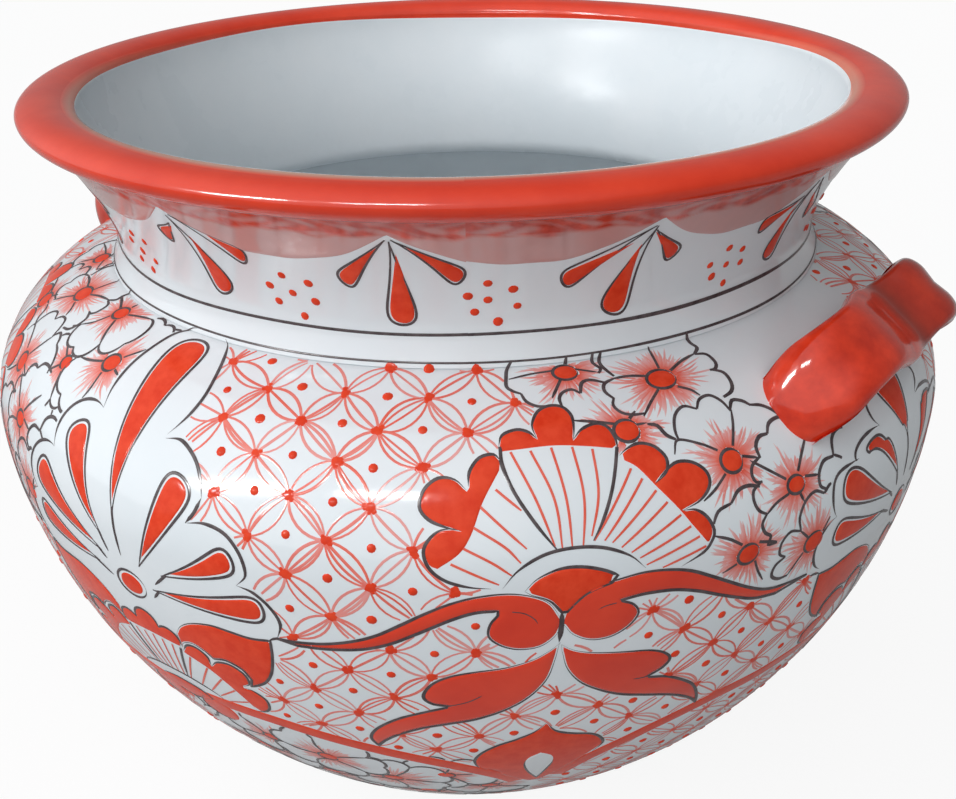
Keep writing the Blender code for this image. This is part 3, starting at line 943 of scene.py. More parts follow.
def draw_big_fan(red, dark, thin):
    """The fan above the scrolls' knot."""
    crown = [line((10, 48), (11.5, 52), (17, 53.8), (21.5, 52.5), (24, 50)),
             line((24, 50), (23, 55), (26, 60), (31, 62), (36, 61), (38.6, 57), (38, 51.5), (37, 48.5)),
             line((37, 48.5), (41, 51.8), (47, 53.2), (51, 51), (52.4, 46), (51.5, 42))]
    crown_tip = line((10.5, 46), (28, 46.8), (40, 45.5), (51.5, 43.2))
    left = [line((-1, 35), (-0.5, 40), (3, 44.5), (8, 45.5), (10.5, 43)),
            line((-3, 21.5), (-8, 22.5), (-14, 25), (-17, 29), (-15.5, 34.5), (-11, 38), (-5.5, 37.5),
                 (-1.5, 34)),
            line((-5, 22.3), (-11, 21.3), (-15.3, 16), (-14, 10), (-9, 5.5), (-1.5, 3), (5.5, 2.2))]
    left_tip = line((10, 40), (4, 30), (0, 20), (-4, 14), (-11, 9))
    right = [line((52, 41), (55.5, 43), (60.5, 44), (65.5, 42), (68.5, 37.5), (67, 33), (62, 30)),
             line((62, 30), (67, 33.5), (72, 35.5), (77.5, 34.3), (81.5, 30.5), (81.5, 26), (77, 22),
                  (70, 20)),
             line((70, 20), (74.5, 19.3), (78.3, 16), (80.3, 11), (79, 7.5), (76, 4.5), (68, 1.2))]
    right_tip = line((53, 39), (57, 36), (62, 29), (68, 21), (73, 13.5), (78, 6.5))
    tips = [chain(*crown, crown_tip[::-1]),
            chain(left_tip, line((-11, 9), (-14, 10.5), (-15.3, 16), (-11, 21.3), (-5, 22.3)),
                  left[1], left[0]),
            chain(right_tip, line((78, 6.5), (80, 11), (78.3, 16), (74.5, 19.3), (70, 20)),
                  right[1][::-1], right[0][::-1])]
    stripes = [line((14, 46), (21, 30), (26, 15)), line((21, 46), (27, 30), (28.3, 14)),
               line((28.5, 46.5), (31, 30), (31.5, 14)), line((36, 46), (37, 30), (35, 14)),
               line((43, 44.5), (42, 30), (38, 17)), line((8, 34), (16, 27)), line((2, 29.5), (17, 15)),
               line((-0.5, 23), (10, 16), (15, 10.5)), line((-3, 16), (6, 11), (12, 6.5)),
               line((-7, 11), (1, 7), (8, 3.5))]
    stripes += [line(top, foot) for top, foot in (
        ((54.9, 36.3), (38.8, 15.5)), ((58, 32.5), (42.1, 15)), ((61.9, 28), (44.6, 14)),
        ((65, 23.7), (47.5, 12)), ((69, 18.8), (50.7, 9.8)), ((72, 14.4), (53.5, 7.4)),
        ((74.8, 10.4), (55.7, 4.6)), ((77, 6.5), (61.3, 2.4)))]
    draw_fan(red, dark, thin, crown + left + right, tips, stripes,
             [line((10.5, 48), (10.8, 42), (14, 33), (20, 23), (26.5, 14)),
              line((52, 44), (47, 31), (42, 21), (38.5, 15.5)),
              line((10.3, 43.5), (10.8, 41), (12.5, 36))],
             line((9, 2), (14, 8), (22, 12.5), (31, 14), (41, 13), (50, 9), (55.5, 3.5)),
             chain(line((16, 0.5), (20, 4.7), (27, 7.5), (34, 7.5), (41, 5.5), (46, 2.8)),
                   line((44, 0), (36, -3), (30, -9)), line((28, -9), (24, -4), (18, -1))))
    dark.stroke(line((28, -8), (28, -15), (27.5, -22)), LINE * 1.6)
    return [chain(line((5, 2), (-9, 5.5), (-15, 13), (-12, 21), (-17, 29), (-12, 38), (-2, 37)),
                  left[0], *crown, *right,
                  [(70, -2), (28, -12), (-2, -2)])]


def draw_small_fan(red, dark, thin):
    """The fan between the lily's red fields."""
    def at(*points):
        return smooth_line([(SMALL_FAN_MIDDLE + v, s) for v, s in points], 1.3)

    def lobe(start, end, bulge):
        return arc((SMALL_FAN_MIDDLE + start[0], start[1]), (SMALL_FAN_MIDDLE + end[0], end[1]),
                   bulge, 1.3)

    crown = [lobe((-14.5, -46), (-4.7, -42), 0.62), lobe((-4.7, -42), (5, -42), 0.95),
             lobe((5, -42), (14.5, -46), 0.62)]
    right = [at((15, -48), (18.5, -43.5), (23, -42.8), (27, -46), (27, -51.5)),
             at((27, -51.5), (31, -47.5), (37, -46.5), (42, -50), (42.5, -55.5), (39, -58.5)),
             at((39, -59.5), (43, -60), (47, -64), (46.5, -70), (43, -74), (38.5, -75.5))]
    left = [mirrored(part, SMALL_FAN_MIDDLE) for part in right]
    tip = at((13.5, -49), (24, -54), (30, -60), (35, -67), (38, -72.5))
    tips = [chain(*crown, at((14, -46.5), (0, -45.6), (-14, -46.5))),
            chain(right[0], right[1], right[2][:-2], tip[::-1])]
    tips.append(mirrored(tips[1], SMALL_FAN_MIDDLE))
    stripes = [at((-10, -47), (-5.5, -67)), at((-5, -46.5), (-2.5, -67)), at((0, -46), (0, -67)),
               at((4.8, -46.5), (3.2, -67)), at((9.7, -47), (6.3, -67))]
    side = [at((17, -51), (9.5, -68)), at((24, -54), (15, -69)), at((29, -58.5), (19, -71)),
            at((33, -64), (22.5, -73)), at((37, -70), (25.5, -75.5))]
    stripes += side + [mirrored(part, SMALL_FAN_MIDDLE) for part in side]
    blade = at((14, -47), (11, -57), (8, -67.3))
    bow = at((-24.5, -80), (-21, -73.5), (-11, -68.6), (0, -67.4), (11, -68.6), (21, -73.5), (24.5, -80))
    draw_fan(red, dark, thin, crown + left + right, tips, stripes,
             [blade, mirrored(blade, SMALL_FAN_MIDDLE)], bow,
             chain(at((-15, -80), (-10, -75.6), (0, -73.6), (10, -75.6), (15, -80)),
                   at((15, -80), (8, -84), (0, -86), (-8, -84), (-15, -80))[1:-1]))
    return [chain(*crown, *right, bow[::-1], mirrored(chain(*right), SMALL_FAN_MIDDLE)[::-1])]


# Scrolls, leaves, swag and pendant


def draw_scrolls(red, dark):
    """Two curled bands and two leaves, tied in a knot under the fan."""
    left = chain(line((28, -12), (24, -5), (18, -1.5), (10, 0), (0, -1), (-8, -3.5), (-16, -7.5),
                      (-24, -12.5), (-32, -17.5), (-40, -21), (-50, -23.8), (-60, -25), (-67, -25)),
                 line((-60, -26.6), (-50, -26.2), (-38, -24.5), (-28, -21), (-18, -15.5), (-8, -10),
                      (0, -7), (7.5, -6.5)),
                 line((7.5, -8.3), (5, -12), (4.5, -17), (8, -21), (14, -23.5), (21, -23), (26, -19),
                      (28, -14)))
    right = chain(line((28, -14), (29.5, -8.5), (32, -5), (38, -0.5), (46, 1), (55, 2), (64, 1),
                       (72, -1.5), (80, -6), (88, -11), (96, -16), (104, -20), (112, -21.7),
                       (125, -22.5)),
                  line((110, -24.5), (100, -22.5), (92, -19), (84, -15), (75, -10.5), (66, -7.5),
                       (56, -6.5), (47.5, -7.3)),
                  line((48, -7.8), (52, -10), (54, -14), (51, -19), (45, -22.5), (38, -22.5),
                       (32, -19), (29, -14.5)))
    left_leaf = chain(line((28, -22), (25, -25), (19, -29), (10, -32), (0, -33.5), (-8, -35.5),
                           (-14, -39), (-17.5, -44), (-18, -48), (-15, -51), (-10, -52)),
                      line((-10.5, -53), (-18, -56), (-27, -60.5), (-34, -66), (-39, -72), (-41, -78),
                           (-39, -84)),
                      line((-38, -82), (-35, -78), (-29, -72.5), (-20, -67), (-10, -63.5), (0, -60.5),
                           (10, -55.5), (18, -49), (24, -40), (26.5, -30), (27.5, -23)))
    right_leaf = chain(line((28.3, -23), (33, -26.5), (40, -29), (50, -31), (60, -33), (66, -36),
                            (69, -40), (67, -44), (62, -47)),
                       line((62.5, -48), (70, -50.5), (78, -56), (84, -62), (88, -70), (90, -77)),
                       line((88.5, -75), (86, -72), (80, -67), (72, -62.5), (62, -58.5), (52, -54.5),
                            (43, -49), (36, -43), (31, -35), (28.7, -26)))
    for shape in (left, right, left_leaf, right_leaf):
        red.patch(shape, 0.28, soft=1.6, inset=0.5)
        dark.stroke(closed(shape), LINE * 1.1, crest=0.3, edge=0.14)
    for crease, width, crest in (
            (line((12, -7), (16, -8), (19.5, -11), (21, -15)), 0.9, 0.4),
            (line((46, -8), (42, -8.6), (39, -10.2)), 0.9, 0.4),
            (line((-10, -52), (-3, -49.5), (2, -46), (4, -44)), LINE, 0.42),
            (line((62, -47), (58, -47), (55, -46.5)), LINE, 0.42)):
        dark.stroke(crease, width, crest=crest, thin=(1.0, 0.2))
    return [left, right, left_leaf, right_leaf]


def band(path, width):
    """The outline of a line of that width."""
    left = side_step(path) * width / 2.0
    return np.concatenate([path + left, (path - left)[::-1]])


def draw_swag(red, dark):
    """The red band that hangs between the small fans, with its pendant, and what hangs below."""
    left = band(smooth_line([(-115, -80), (-100, -79), (-80, -79.7), (-60, -83.5), (-40, -88.5),
                             (-20, -95.5), (-5, -103), (10, -114), (19, -125)], 2.0), 7.6)
    right = band(smooth_line([(36, -122), (45, -108), (55, -98.5), (65, -92), (75, -86.5), (90, -81),
                              (105, -78), (120, -77.5), (140, -77), (180, -79.5)], 2.0), 7.6)
    pendant = chain(line((26, -66), (22, -72), (15, -77), (8, -81), (2, -87), (-1, -94), (0, -101),
                         (3, -105)),
                    line((10, -112), (18, -121), (26, -128)), line((30, -126), (38, -114), (49, -97)),
                    line((50, -95.5), (52, -91), (50, -85), (45, -80), (37, -77), (30, -73), (26.5, -67)))
    tear = chain(line((26, -90), (31, -94.5), (32, -101), (30, -110), (27.5, -120.5)),
                 line((27, -120), (22.3, -110), (20, -101), (21, -94.5), (25.5, -90.3)))
    for shape in (left, right):
        red.patch(shape, 0.18, soft=1.0)
    red.patch(pendant, 0.28, soft=1.6, inset=0.4)
    dark.stroke(line((3, -105), (0, -101), (-1, -94), (2, -87), (8, -81), (15, -77), (22, -72),
                     (26, -66)), LINE * 1.15, crest=0.3)
    dark.stroke(line((26, -66), (30, -73), (37, -77), (45, -80), (50, -85), (52, -91), (49, -98)),
                LINE * 1.15, crest=0.3)
    dark.stroke(closed(tear), LINE * 1.1, crest=0.44, edge=0.25)
    curls = [oval((across, -88), 9.3, 8.6) for across in (-113.5, -142.5)]
    for curl in curls:
        red.patch(curl, 0.22, soft=1.2, inset=0.3)
        dark.stroke(closed(curl)[6:24], 0.9, crest=0.3, thin=(0.2, 0.2))
    return [left, right, pendant, *curls], tear


# The net of crossing petals

# A dot keeps this far from what covers the net
DOT_CLEARANCE = 2.0


def draw_lattice(thin, blobs, zone, start, pitch, rows, columns, covers, drift=None):
    """Thin petals between red knots, with a raised dot in each cell, inside a zone."""
    rng = np.random.default_rng(7)

    def place(i, j):
        level = start[1] + j * pitch[1]
        spot = np.array([start[0] + i * pitch[0] / narrowing(level), level])
        if drift:
            lean, tilt, sag, axis = drift
            spot[0] += lean * (j + 1)
            spot[1] -= tilt * (spot[0] - axis) + sag * min(0.0, spot[0] - axis) ** 2
        return spot

    reach = [(i, j) for j in rows for i in columns]
    shift = {key: rng.normal(0.0, 0.6, 2) for key in reach}

    def knot(i, j):
        return place(i, j) + shift.get((i, j), 0.0)

    def shown(point):
        spot = np.array([point])
        return inside(spot, zone)[0] and not any(inside(spot, cover)[0] for cover in covers)

    for i, j in reach:
        if (i + j) % 2:
            centre = place(i, j) + rng.normal(0.0, 0.8, 2)
            near = min(gap(np.array([centre]), cover)[0] for cover in covers)
            if shown(centre) and near > DOT_CLEARANCE:
                blobs.dot(centre, rng.uniform(1.5, 1.95), 0.5)
            continue
        crossing = knot(i, j)
        if shown(crossing):
            blobs.dot(crossing, rng.uniform(1.5, 2.1), 0.2, 8)
            for angle in rng.uniform(0, 2 * math.pi, 4):
                aside = np.array([math.cos(angle), math.sin(angle)]) * rng.uniform(1.2, 2.0)
                blobs.dot(crossing + aside, rng.uniform(0.7, 1.3), 0.15, 7)
        for other in (knot(i + 1, j + 1), knot(i + 1, j - 1)):
            bow = rng.uniform(0.16, 0.22)
            pale = rng.uniform(0.0, 0.25)
            for bulge in (bow, -bow * rng.uniform(0.85, 1.1), rng.normal(0.0, 0.025),
                          0.5 * bow * rng.choice((-1.0, 1.0)))[:3 + rng.integers(2)]:
                bulge = bulge if abs(bulge) > 0.01 else 0.01
                path = arc(crossing, other, bulge, 2.2)
                for part in visible(path, covers, zone):
                    thin.stroke(part, rng.uniform(0.7, 1.15), crest=0.12, edge=0.03, thin=(0.85, 0.85),
                                fade=(pale, pale + rng.uniform(0.0, 0.15)))


# Flowers

# Feathered strokes round a flower's heart, and corners of its wash
FLOWER_STROKES = 110
WASH_SIDES = 40
HOOP_SHARE = 0.9
HEART_SHARE = 0.86


def draw_flower(flower, covers, brushes, rng, over=None):
    """One flower: its outline and dividers, ring, red centre and feathered strokes."""
    dark, thin, wash, red = brushes
    centre, ring, outlines, dividers, reach = flower
    over = covers if over is None else over
    for outline in outlines:
        for part in visible(outline, over):
            dark.stroke(part, LINE * rng.uniform(0.95, 1.25), thin=(0.7, 0.7))
    for divider in dividers:
        for part in visible(divider, over):
            dark.stroke(part, LINE * rng.uniform(0.8, 1.05), thin=(1.0, 0.5))
    if any(inside(np.array([centre]), cover)[0] for cover in covers):
        return
    narrow = narrowing(centre[1])
    hoop = oval(centre, HOOP_SHARE * ring[0] / narrow, HOOP_SHARE * ring[1])
    for part in visible(closed(hoop), covers):
        dark.stroke(part, LINE * 1.1, crest=0.3)
    red.patch(oval(centre, HEART_SHARE * ring[0] / narrow, HEART_SHARE * ring[1], 18), 0.24, soft=1.6)
    for index in range(FLOWER_STROKES):
        angle = 2.0 * math.pi * (index + rng.uniform(-0.35, 0.35)) / FLOWER_STROKES
        run = np.array([math.cos(angle) / narrow, math.sin(angle)])
        start = centre + run * np.array([ring[0], ring[1]]) * rng.uniform(0.9, 1.15)
        short = index % 3 == 0
        length = reach * rng.uniform(0.45, 1.05) * (0.85 + 0.15 * math.cos(5.0 * angle + centre[0]))
        length *= 0.6 if short else 1.0
        bend = np.array([-run[1], run[0]]) * rng.normal(0.0, 0.5)
        path = smooth_line([start, start + run * length * 0.5 + bend, start + run * length], 2.4)
        for part in visible(path, covers):
            thin.stroke(part, rng.uniform(1.3, 2.1) if short else rng.uniform(0.6, 1.15), crest=0.1,
                        edge=0.03, thin=(1.0, 0.05), fade=(0.0, rng.uniform(0.35, 0.75)))
    angle = np.linspace(0, 2 * math.pi, WASH_SIDES, endpoint=False)
    petals = 0.5 * reach * (0.9 + 0.25 * np.cos(5.0 * angle))
    spread = np.stack([(ring[0] + petals) * np.cos(angle) / narrow,
                       (ring[1] + petals) * np.sin(angle)], -1)
    haze = centre + 0.3 * spread
    for share in (0.45, 0.6, 0.75, 0.9, 1.0):
        wider = centre + share * spread
        free = ~np.any([inside(wider, cover) for cover in covers], axis=0)
        haze[free] = wider[free]
    wash.patch(haze, 0.02, soft=0.55 * reach, grid=1.8, edge=-0.04, fade=(0.15, 1.0))


def full_flower(centre, size, turn, rng):
    """A five-petalled flower drawn whole, as (flower, its outer edge)."""
    centre = np.array(centre, float)
    narrow = narrowing(centre[1])
    outlines, dividers, edge = [], [], []

    def at(angle, radius):
        return centre + np.array([math.cos(angle) / narrow, math.sin(angle)]) * radius

    for petal in range(5):
        first = turn + 2.0 * math.pi * petal / 5.0
        second = first + 2.0 * math.pi / 5.0
        middle = 0.5 * (first + second) + rng.normal(0.0, 0.08)
        notch = at(first, size * 0.78)
        dip = at(middle, size * rng.uniform(0.93, 1.0))
        close = at(second, size * 0.78)
        for start, end in ((notch, dip), (dip, close)):
            lobe = arc(start, end, -rng.uniform(0.3, 0.42))
            outlines.append(lobe)
            edge.append(lobe)
        dividers.append(smooth_line([at(first, size * 0.2), at(first + rng.normal(0, 0.06), size * 0.5),
                                     notch], 1.5))
    return (centre, (size * 0.19, size * 0.17), outlines, dividers, size * 0.62), chain(*edge)


def seen_flowers():
    """The flowers between the fan and the next lily, front ones first, with their outer edges."""
    def flower(centre, ring, reach, outlines, dividers, edge):
        drawn = (np.array(centre, float), ring, [line(*points) for points in outlines],
                 [line(*points) for points in dividers], reach)
        return drawn, polygon(*edge)

    return [
        flower((92.5, 31.5), (4.6, 4.4), 14,
               [((75.5, 42), (75.5, 46), (78, 51), (83, 53.6), (88, 51.5)),
                ((88, 51.5), (91, 54.6), (96, 55.2), (99.5, 52), (101, 47.5)),
                ((101, 48), (104, 51), (108, 49.8), (110.5, 47.3)),
                ((110.5, 47.5), (115, 46), (119, 42.5), (121, 38))],
               [((88.5, 36), (83, 39.5), (75, 42.5), (72, 38)), ((95, 36), (98.5, 42), (101.5, 48)),
                ((97, 32), (103, 30)), ((88.5, 28), (83, 24), (78, 21.3))],
               ((75.5, 42), (75.5, 47), (80, 53), (88, 52), (92, 55), (99, 53), (104, 51), (110, 48),
                (118, 43), (121, 38), (111, 36), (104, 30), (100, 28), (98, 22), (88, 18), (78, 21))),
        flower((94, -1.5), (4.8, 4.2), 13,
               [((80.5, 8.5), (80, 12), (82.5, 16.8), (88, 18.3)),
                ((88, 18.3), (91.5, 21.6), (96, 22.2), (100.5, 20.8))],
               [((91, 3), (86, 6.5), (80.5, 9)), ((98, 2), (101, 1), (106, -0.5)),
                ((97, -5), (99, -10), (102, -15)), ((89.5, -4), (84, -6))],
               ((80.5, 8.5), (82, 16.5), (88, 18.5), (95, 22), (100, 20), (98, 13), (101, 10),
                (101, 3), (107, -1), (104, -16), (92, -12), (82, -6))),
        flower((116, 17), (4.4, 3.4), 13,
               [((104, 29.5), (104, 33.5), (107, 36.3), (111, 36.3)),
                ((111, 36.3), (113.5, 39.3), (118, 40.3), (124, 39.5)),
                ((104, 30), (99.8, 28), (98.5, 25), (99.5, 22.4), (102, 22)),
                ((101.5, 22), (97.6, 20), (97, 16.5), (98.5, 13), (101.5, 11)),
                ((101.5, 11), (99.3, 8), (100.5, 4.5), (103, 2.5), (102, -0.5), (106, -1))],
               [((112, 20), (105, 25.5), (99.5, 29.8)), ((118, 21), (122, 26), (127, 31)),
                ((120.5, 18.5), (127, 17)), ((112, 15), (106, 13.5), (101, 10.5)),
                ((117, 13.5), (118.5, 10))],
               ((104, 29.5), (106, 36), (111, 36.5), (117, 40), (130, 36), (136.5, 20.5), (128, 15),
                (124, 12), (117, 6), (110, -1), (103, -1), (101, 10), (97, 17), (100, 28))),
        flower((148.5, 12), (4.6, 3.8), 13,
               [((136.5, 20.5), (138.5, 26), (144, 28.3), (152.5, 25.3)),
                ((152.5, 25.3), (158, 27.5), (163.5, 25.5), (166, 20)),
                ((136.5, 20.5), (131, 20.5), (127.3, 17), (127, 13), (129.5, 11))],
               [((144, 14.5), (140.5, 18.5), (136.5, 21)), ((153, 14.5), (158, 19), (163, 20.5)),
                ((144.5, 9.5), (141.5, 5)), ((152, 9), (156, 5))],
               ((136.5, 20.5), (141, 28), (152.5, 26), (163, 26), (167, 18), (158, 4), (142, 4),
                (134, 11), (127, 13), (130, 20))),
        flower((125, -8), (5.4, 4.6), 14,
               [((117, -0.5), (116, 5), (119, 10), (124, 12), (128.5, 9.8)),
                ((128.5, 9.8), (132.5, 12), (139, 10.3), (142.5, 4)),
                ((117, -0.5), (112, 1), (108.4, -2), (108, -6.5), (111, -8.8)),
                ((111, -8.8), (106.8, -11), (106, -15), (109.5, -17.7), (114, -18))],
               [((120, -10.5), (117, -14), (114, -18)), ((129, -5), (133, 0.5), (139.5, 4)),
                ((121, -4.5), (117, -0.5)), ((128, -12), (131, -17), (132.5, -22))],
               ((117, -0.5), (117, 8), (124, 12), (134, 12), (142, 4), (140, -20), (114, -20),
                (106, -15), (110, -9), (108, -3), (113, 1))),
        flower((81, 66), (5.8, 4.6), 16,
               [((61.5, 83), (59, 78.5), (60, 74.5), (62, 71)),
                ((61, 70), (56.2, 68.3), (55, 65), (57.5, 61.5)),
                ((57.5, 62), (56, 59), (58, 55.8), (62, 54.3), (67, 54)),
                ((108, 83), (106.8, 78.5), (107.5, 75.5), (103.5, 73)),
                ((103.5, 73), (108.6, 71.5), (109.3, 67), (107, 64.5), (104, 64.6)),
                ((105, 64.5), (109, 62), (109, 57.5), (106.5, 54.3), (101.5, 53))],
               [((75.5, 68.5), (68, 70), (60, 70)), ((83, 70.5), (84, 75), (85.5, 81.5)),
                ((87, 68.5), (95, 71.5), (104, 73.3)), ((85.5, 61.5), (90, 59), (92.5, 56)),
                ((77, 62), (71, 57.5), (66, 53))],
               ((61, 84), (60, 73), (55, 66), (57, 58), (67, 53.5), (74, 50), (84, 56), (101, 53),
                (109, 59), (104, 65), (109, 69), (104, 74), (108, 84))),
        flower((42, 76), (4.6, 4.0), 13,
               [((19.5, 83), (17, 80), (16, 76), (15.6, 71.5), (18, 69.3), (21, 68)),
                ((21, 68), (22.5, 64.5), (26.5, 62.2), (31, 62)),
                ((57.5, 83), (56, 79), (58, 75.5), (56, 73.5))],
               [((37, 77.5), (27, 76.8), (17, 75)), ((47, 77), (52, 75.3), (56, 74)),
                ((39, 73), (36, 69), (33, 65)), ((43.5, 80), (45, 83))],
               ((19, 84), (15.5, 74), (21, 67.5), (28, 62), (36, 62), (45, 66), (57, 70), (59, 84))),
        flower((57.5, 49), (4.8, 4.4), 13,
               [((36, 61), (35.8, 64.5), (38, 67), (42, 67.8), (45, 65.7)),
                ((45, 65.7), (47, 70), (51, 71), (56.5, 69)),
                ((66, 50), (69.5, 48.8), (71.5, 45), (74.5, 42.8))],
               [((54, 52), (46, 54), (39, 55.3)), ((60, 53), (63.5, 55.5)),
                ((62, 50.5), (66, 50.5)), ((61.5, 45.5), (63, 43.3))],
               ((36, 60), (37, 67), (45, 66), (50, 71), (56, 69), (60, 56), (70, 49), (72, 44),
                (56, 42), (40, 48)))]


# The painting, quarter by quarter

# Each piece with its brush, its glaze and the quarters that it is laid on
ALL, FULL, SHORT = (0, 1, 2, 3), (0, 2), (1, 3)
PAINTING = (
    ("lily_drops", "lily_red", RED_BRUSHED, FULL),
    ("lily_lines", "lily_dark", DARK_LINE, FULL),
    ("handle_lily_drops", "short_red", RED_BRUSHED, SHORT),
    ("handle_lily_lines", "short_dark", DARK_LINE, SHORT),
    ("fan_tips", "fan_red", RED_BRUSHED, ALL),
    ("fan_lines", "fan_dark", DARK_LINE, ALL),
    ("fan_stripes", "fan_thin", RED_WASH, ALL),
    ("scrolls_and_leaves", "scroll_red", RED_ENAMEL, ALL),
    ("scroll_lines", "scroll_dark", DARK_LINE, ALL),
    ("swag_band", "swag_red", RED_BRUSHED, ALL),
    ("swag_lines", "swag_dark", DARK_LINE, ALL),
    ("pendant_tear", "tear_white", WHITE_GLAZE, ALL),
    ("lattice_strokes", "lattice_thin", RED_WASH, ALL),
    ("lattice_dots", "lattice_dots", RED_BRUSHED, ALL),
    ("upper_lattice_strokes", "upper_thin", RED_WASH, FULL),
    ("upper_lattice_dots", "upper_dots", RED_BRUSHED, FULL),
    ("handle_lattice_strokes", "handle_thin", RED_WASH, SHORT),
    ("handle_lattice_dots", "handle_dots", RED_BRUSHED, SHORT),
    ("flower_lines", "flower_dark", DARK_LINE, ALL),
    ("flower_strokes", "flower_thin", RED_WASH, ALL),
    ("flower_wash", "flower_wash", RED_WASH, ALL),
    ("flower_hearts", "flower_red", RED_BRUSHED, ALL),
    ("upper_flower_lines", "extra_dark", DARK_LINE, SHORT),
    ("upper_flower_strokes", "extra_thin", RED_WASH, SHORT),
    ("upper_flower_wash", "extra_wash", RED_WASH, SHORT),
    ("upper_flower_hearts", "extra_red", RED_BRUSHED, SHORT),
)
brushes = {key: Brush() for _, key, _, _ in PAINTING}


def brushes_for(motif, *kinds):
    """The brushes of one motif."""
    return [brushes[motif + "_" + kind] for kind in kinds]


def beside(outlines):
    """Outlines with their copies in the quarters on both sides."""
    return [outline + np.array([QUARTER * turn, 0.0]) for turn in (0, -1, 1) for outline in outlines]


lily_edge = draw_lily(*brushes_for("lily", "red", "dark"), False)
draw_lily(*brushes_for("short", "red", "dark"), True)
fan_edges = draw_big_fan(*brushes_for("fan", "red", "dark", "thin"))
small_edges = draw_small_fan(*brushes_for("fan", "red", "dark", "thin"))
scroll_edges = draw_scrolls(*brushes_for("scroll", "red", "dark"))
swag_edges, tear = draw_swag(*brushes_for("swag", "red", "dark"))
brushes["tear_white"].patch(tear, 0.36, soft=0.6, edge=0.22)

# What hides the marks that are drawn later, and the fields that the net and the flowers fill
under_knot = polygon((23.7, -17), (30, -18), (34.5, -35), (29.9, -46), (20.5, -35))
motifs = beside([lily_edge, *fan_edges, *small_edges, *scroll_edges, *swag_edges, under_knot])
neck_foot = polygon((-700, 80.6), (700, 80.6), (700, 120), (-700, 120))
flower_field = polygon((17, 90), (15.3, 76), (15.5, 71), (21, 67.3), (24, 63), (28, 61.5), (40, 40),
                       (60, 20), (60, 0), (80, -3), (100, -17), (125, -23), (187, -23), (187, 90))
upper_zone = polygon((-135, 81), (-135, -24), (-66, -25.5), (-40, -21), (-16, -7), (0, -1), (28, -8),
                     (28, 81))
by_handle = polygon((-103, 81), (-103, 45), (-108, 20), (-135, 8), (-135, -24))
lower_zone = polygon((-66, -26), (-40, -21), (-16, -7), (8, -4), (28, -10), (40, -10), (50, -24),
                     (66, -40), (62, -49), (84, -62), (90, -79), (75, -86.5), (52, -99), (28, -120),
                     (5, -107), (-20, -95.5), (-50, -86), (-80, -79.7), (-105, -79), (-105, -60),
                     (-80, -50))
side_zone = polygon((40, -10), (75, -8), (95, -18), (125, -23), (168, -30), (168, -79), (140, -77),
                    (105, -78), (90, -79), (84, -62), (62, -49), (66, -40), (50, -24))
foot_zone = polygon((28, -124), (45, -108), (65, -92), (105, -78), (190, -80), (190, -172), (28, -172))
below_painting = polygon((-400, -173), (400, -173), (400, -260), (-400, -260))

# How the upper net leans, tilts and sags to the left of an upright line
UPPER_DRIFT = (0.44, 0.043, 0.0033, -50.0)

for motif, zone in (("upper", upper_zone), ("handle", chain(by_handle, upper_zone[2:]))):
    draw_lattice(*brushes_for(motif, "thin", "dots"), zone, (-18.6, 16.2), (13.7, 13.05),
                 range(-4, 7), range(-9, 5), motifs + [flower_field], UPPER_DRIFT)
for zone, start, pitch, rows, columns in (
        (lower_zone, (0.0, -48.0), (13.8, 12.1), range(-6, 5), range(-9, 9)),
        (side_zone, (99.0, -50.3), (13.4, 12.2), range(-4, 5), range(-6, 7)),
        (foot_zone, (28.0, -100.0), (13.0, 12.3), range(-7, 3), range(-1, 12))):
    draw_lattice(*brushes_for("lattice", "thin", "dots"), zone, start, pitch, rows, columns, motifs)

rng = np.random.default_rng(3)
covers = motifs + [neck_foot]
petal_brushes = brushes_for("flower", "dark", "thin", "wash", "red")
for flower, edge in seen_flowers():
    draw_flower(flower, covers, petal_brushes, rng, motifs)
    covers.append(edge)
covers_below = motifs + [below_painting, foot_zone, foot_zone - np.array([QUARTER, 0.0])]
for centre, size, turn in (
        ((-67, -106), 23, 0.4), ((-40, -122), 24, 1.1), ((-93, -100), 19, 0.9),
        ((-14, -112), 20, 0.2), ((6, -130), 21, 0.7), ((-108, -121), 24, 0.1),
        ((-76, -133), 24, 1.3), ((-26, -146), 24, 0.5), ((-140, -106), 21, 0.8),
        ((-60, -157), 23, 0.9), ((-112, -151), 24, 0.3), ((12, -158), 23, 1.0),
        ((-150, -135), 24, 1.2), ((-160, -163), 22, 0.6), ((-26, -170), 18, 0.1)):
    flower, edge = full_flower(centre, size, turn, rng)
    draw_flower(flower, covers_below, petal_brushes, rng)
    covers_below.append(edge)
upper_brushes = brushes_for("extra", "dark", "thin", "wash", "red")
for centre, size, turn in (((124, 73), 22, 0.3), ((154, 56), 24, 0.9), ((128, 46), 19, 0.1),
                           ((168, 32), 16, 0.5), ((160, 78), 18, 0.2), ((140, 33), 15, 1.0)):
    flower, edge = full_flower(centre, size, turn, rng)
    draw_flower(flower, covers, upper_brushes, rng)
    covers.append(edge)

for name, key, material, turns in PAINTING:
    slot = "white_glaze" if material == WHITE_GLAZE else "red_glaze"
    brushes[key].make(name, material, slot, turns)


# Neck band and the red on the flare

# The scallops' cusps round the neck, each a little off its even place, and their lower edge
SCALLOPS = 12
SCALLOP = 2.0 * math.pi * BELLY_RADIUS / SCALLOPS
WHOLE_TURN = SCALLOPS * SCALLOP
FIRST_CUSP = -27.3
CUSPS = [FIRST_CUSP + SCALLOP * k + nudge for k, nudge in enumerate(
    (-2.7, 0.0, -7.0, 1.5, -2.0, 2.5, 0.5, -1.5, 2.0, -2.5, 1.0, -0.4))]
SCALLOP_LEVEL = 121.2
SCALLOP_RISE = 15.5
SCALLOP_SHARPNESS = 2.4

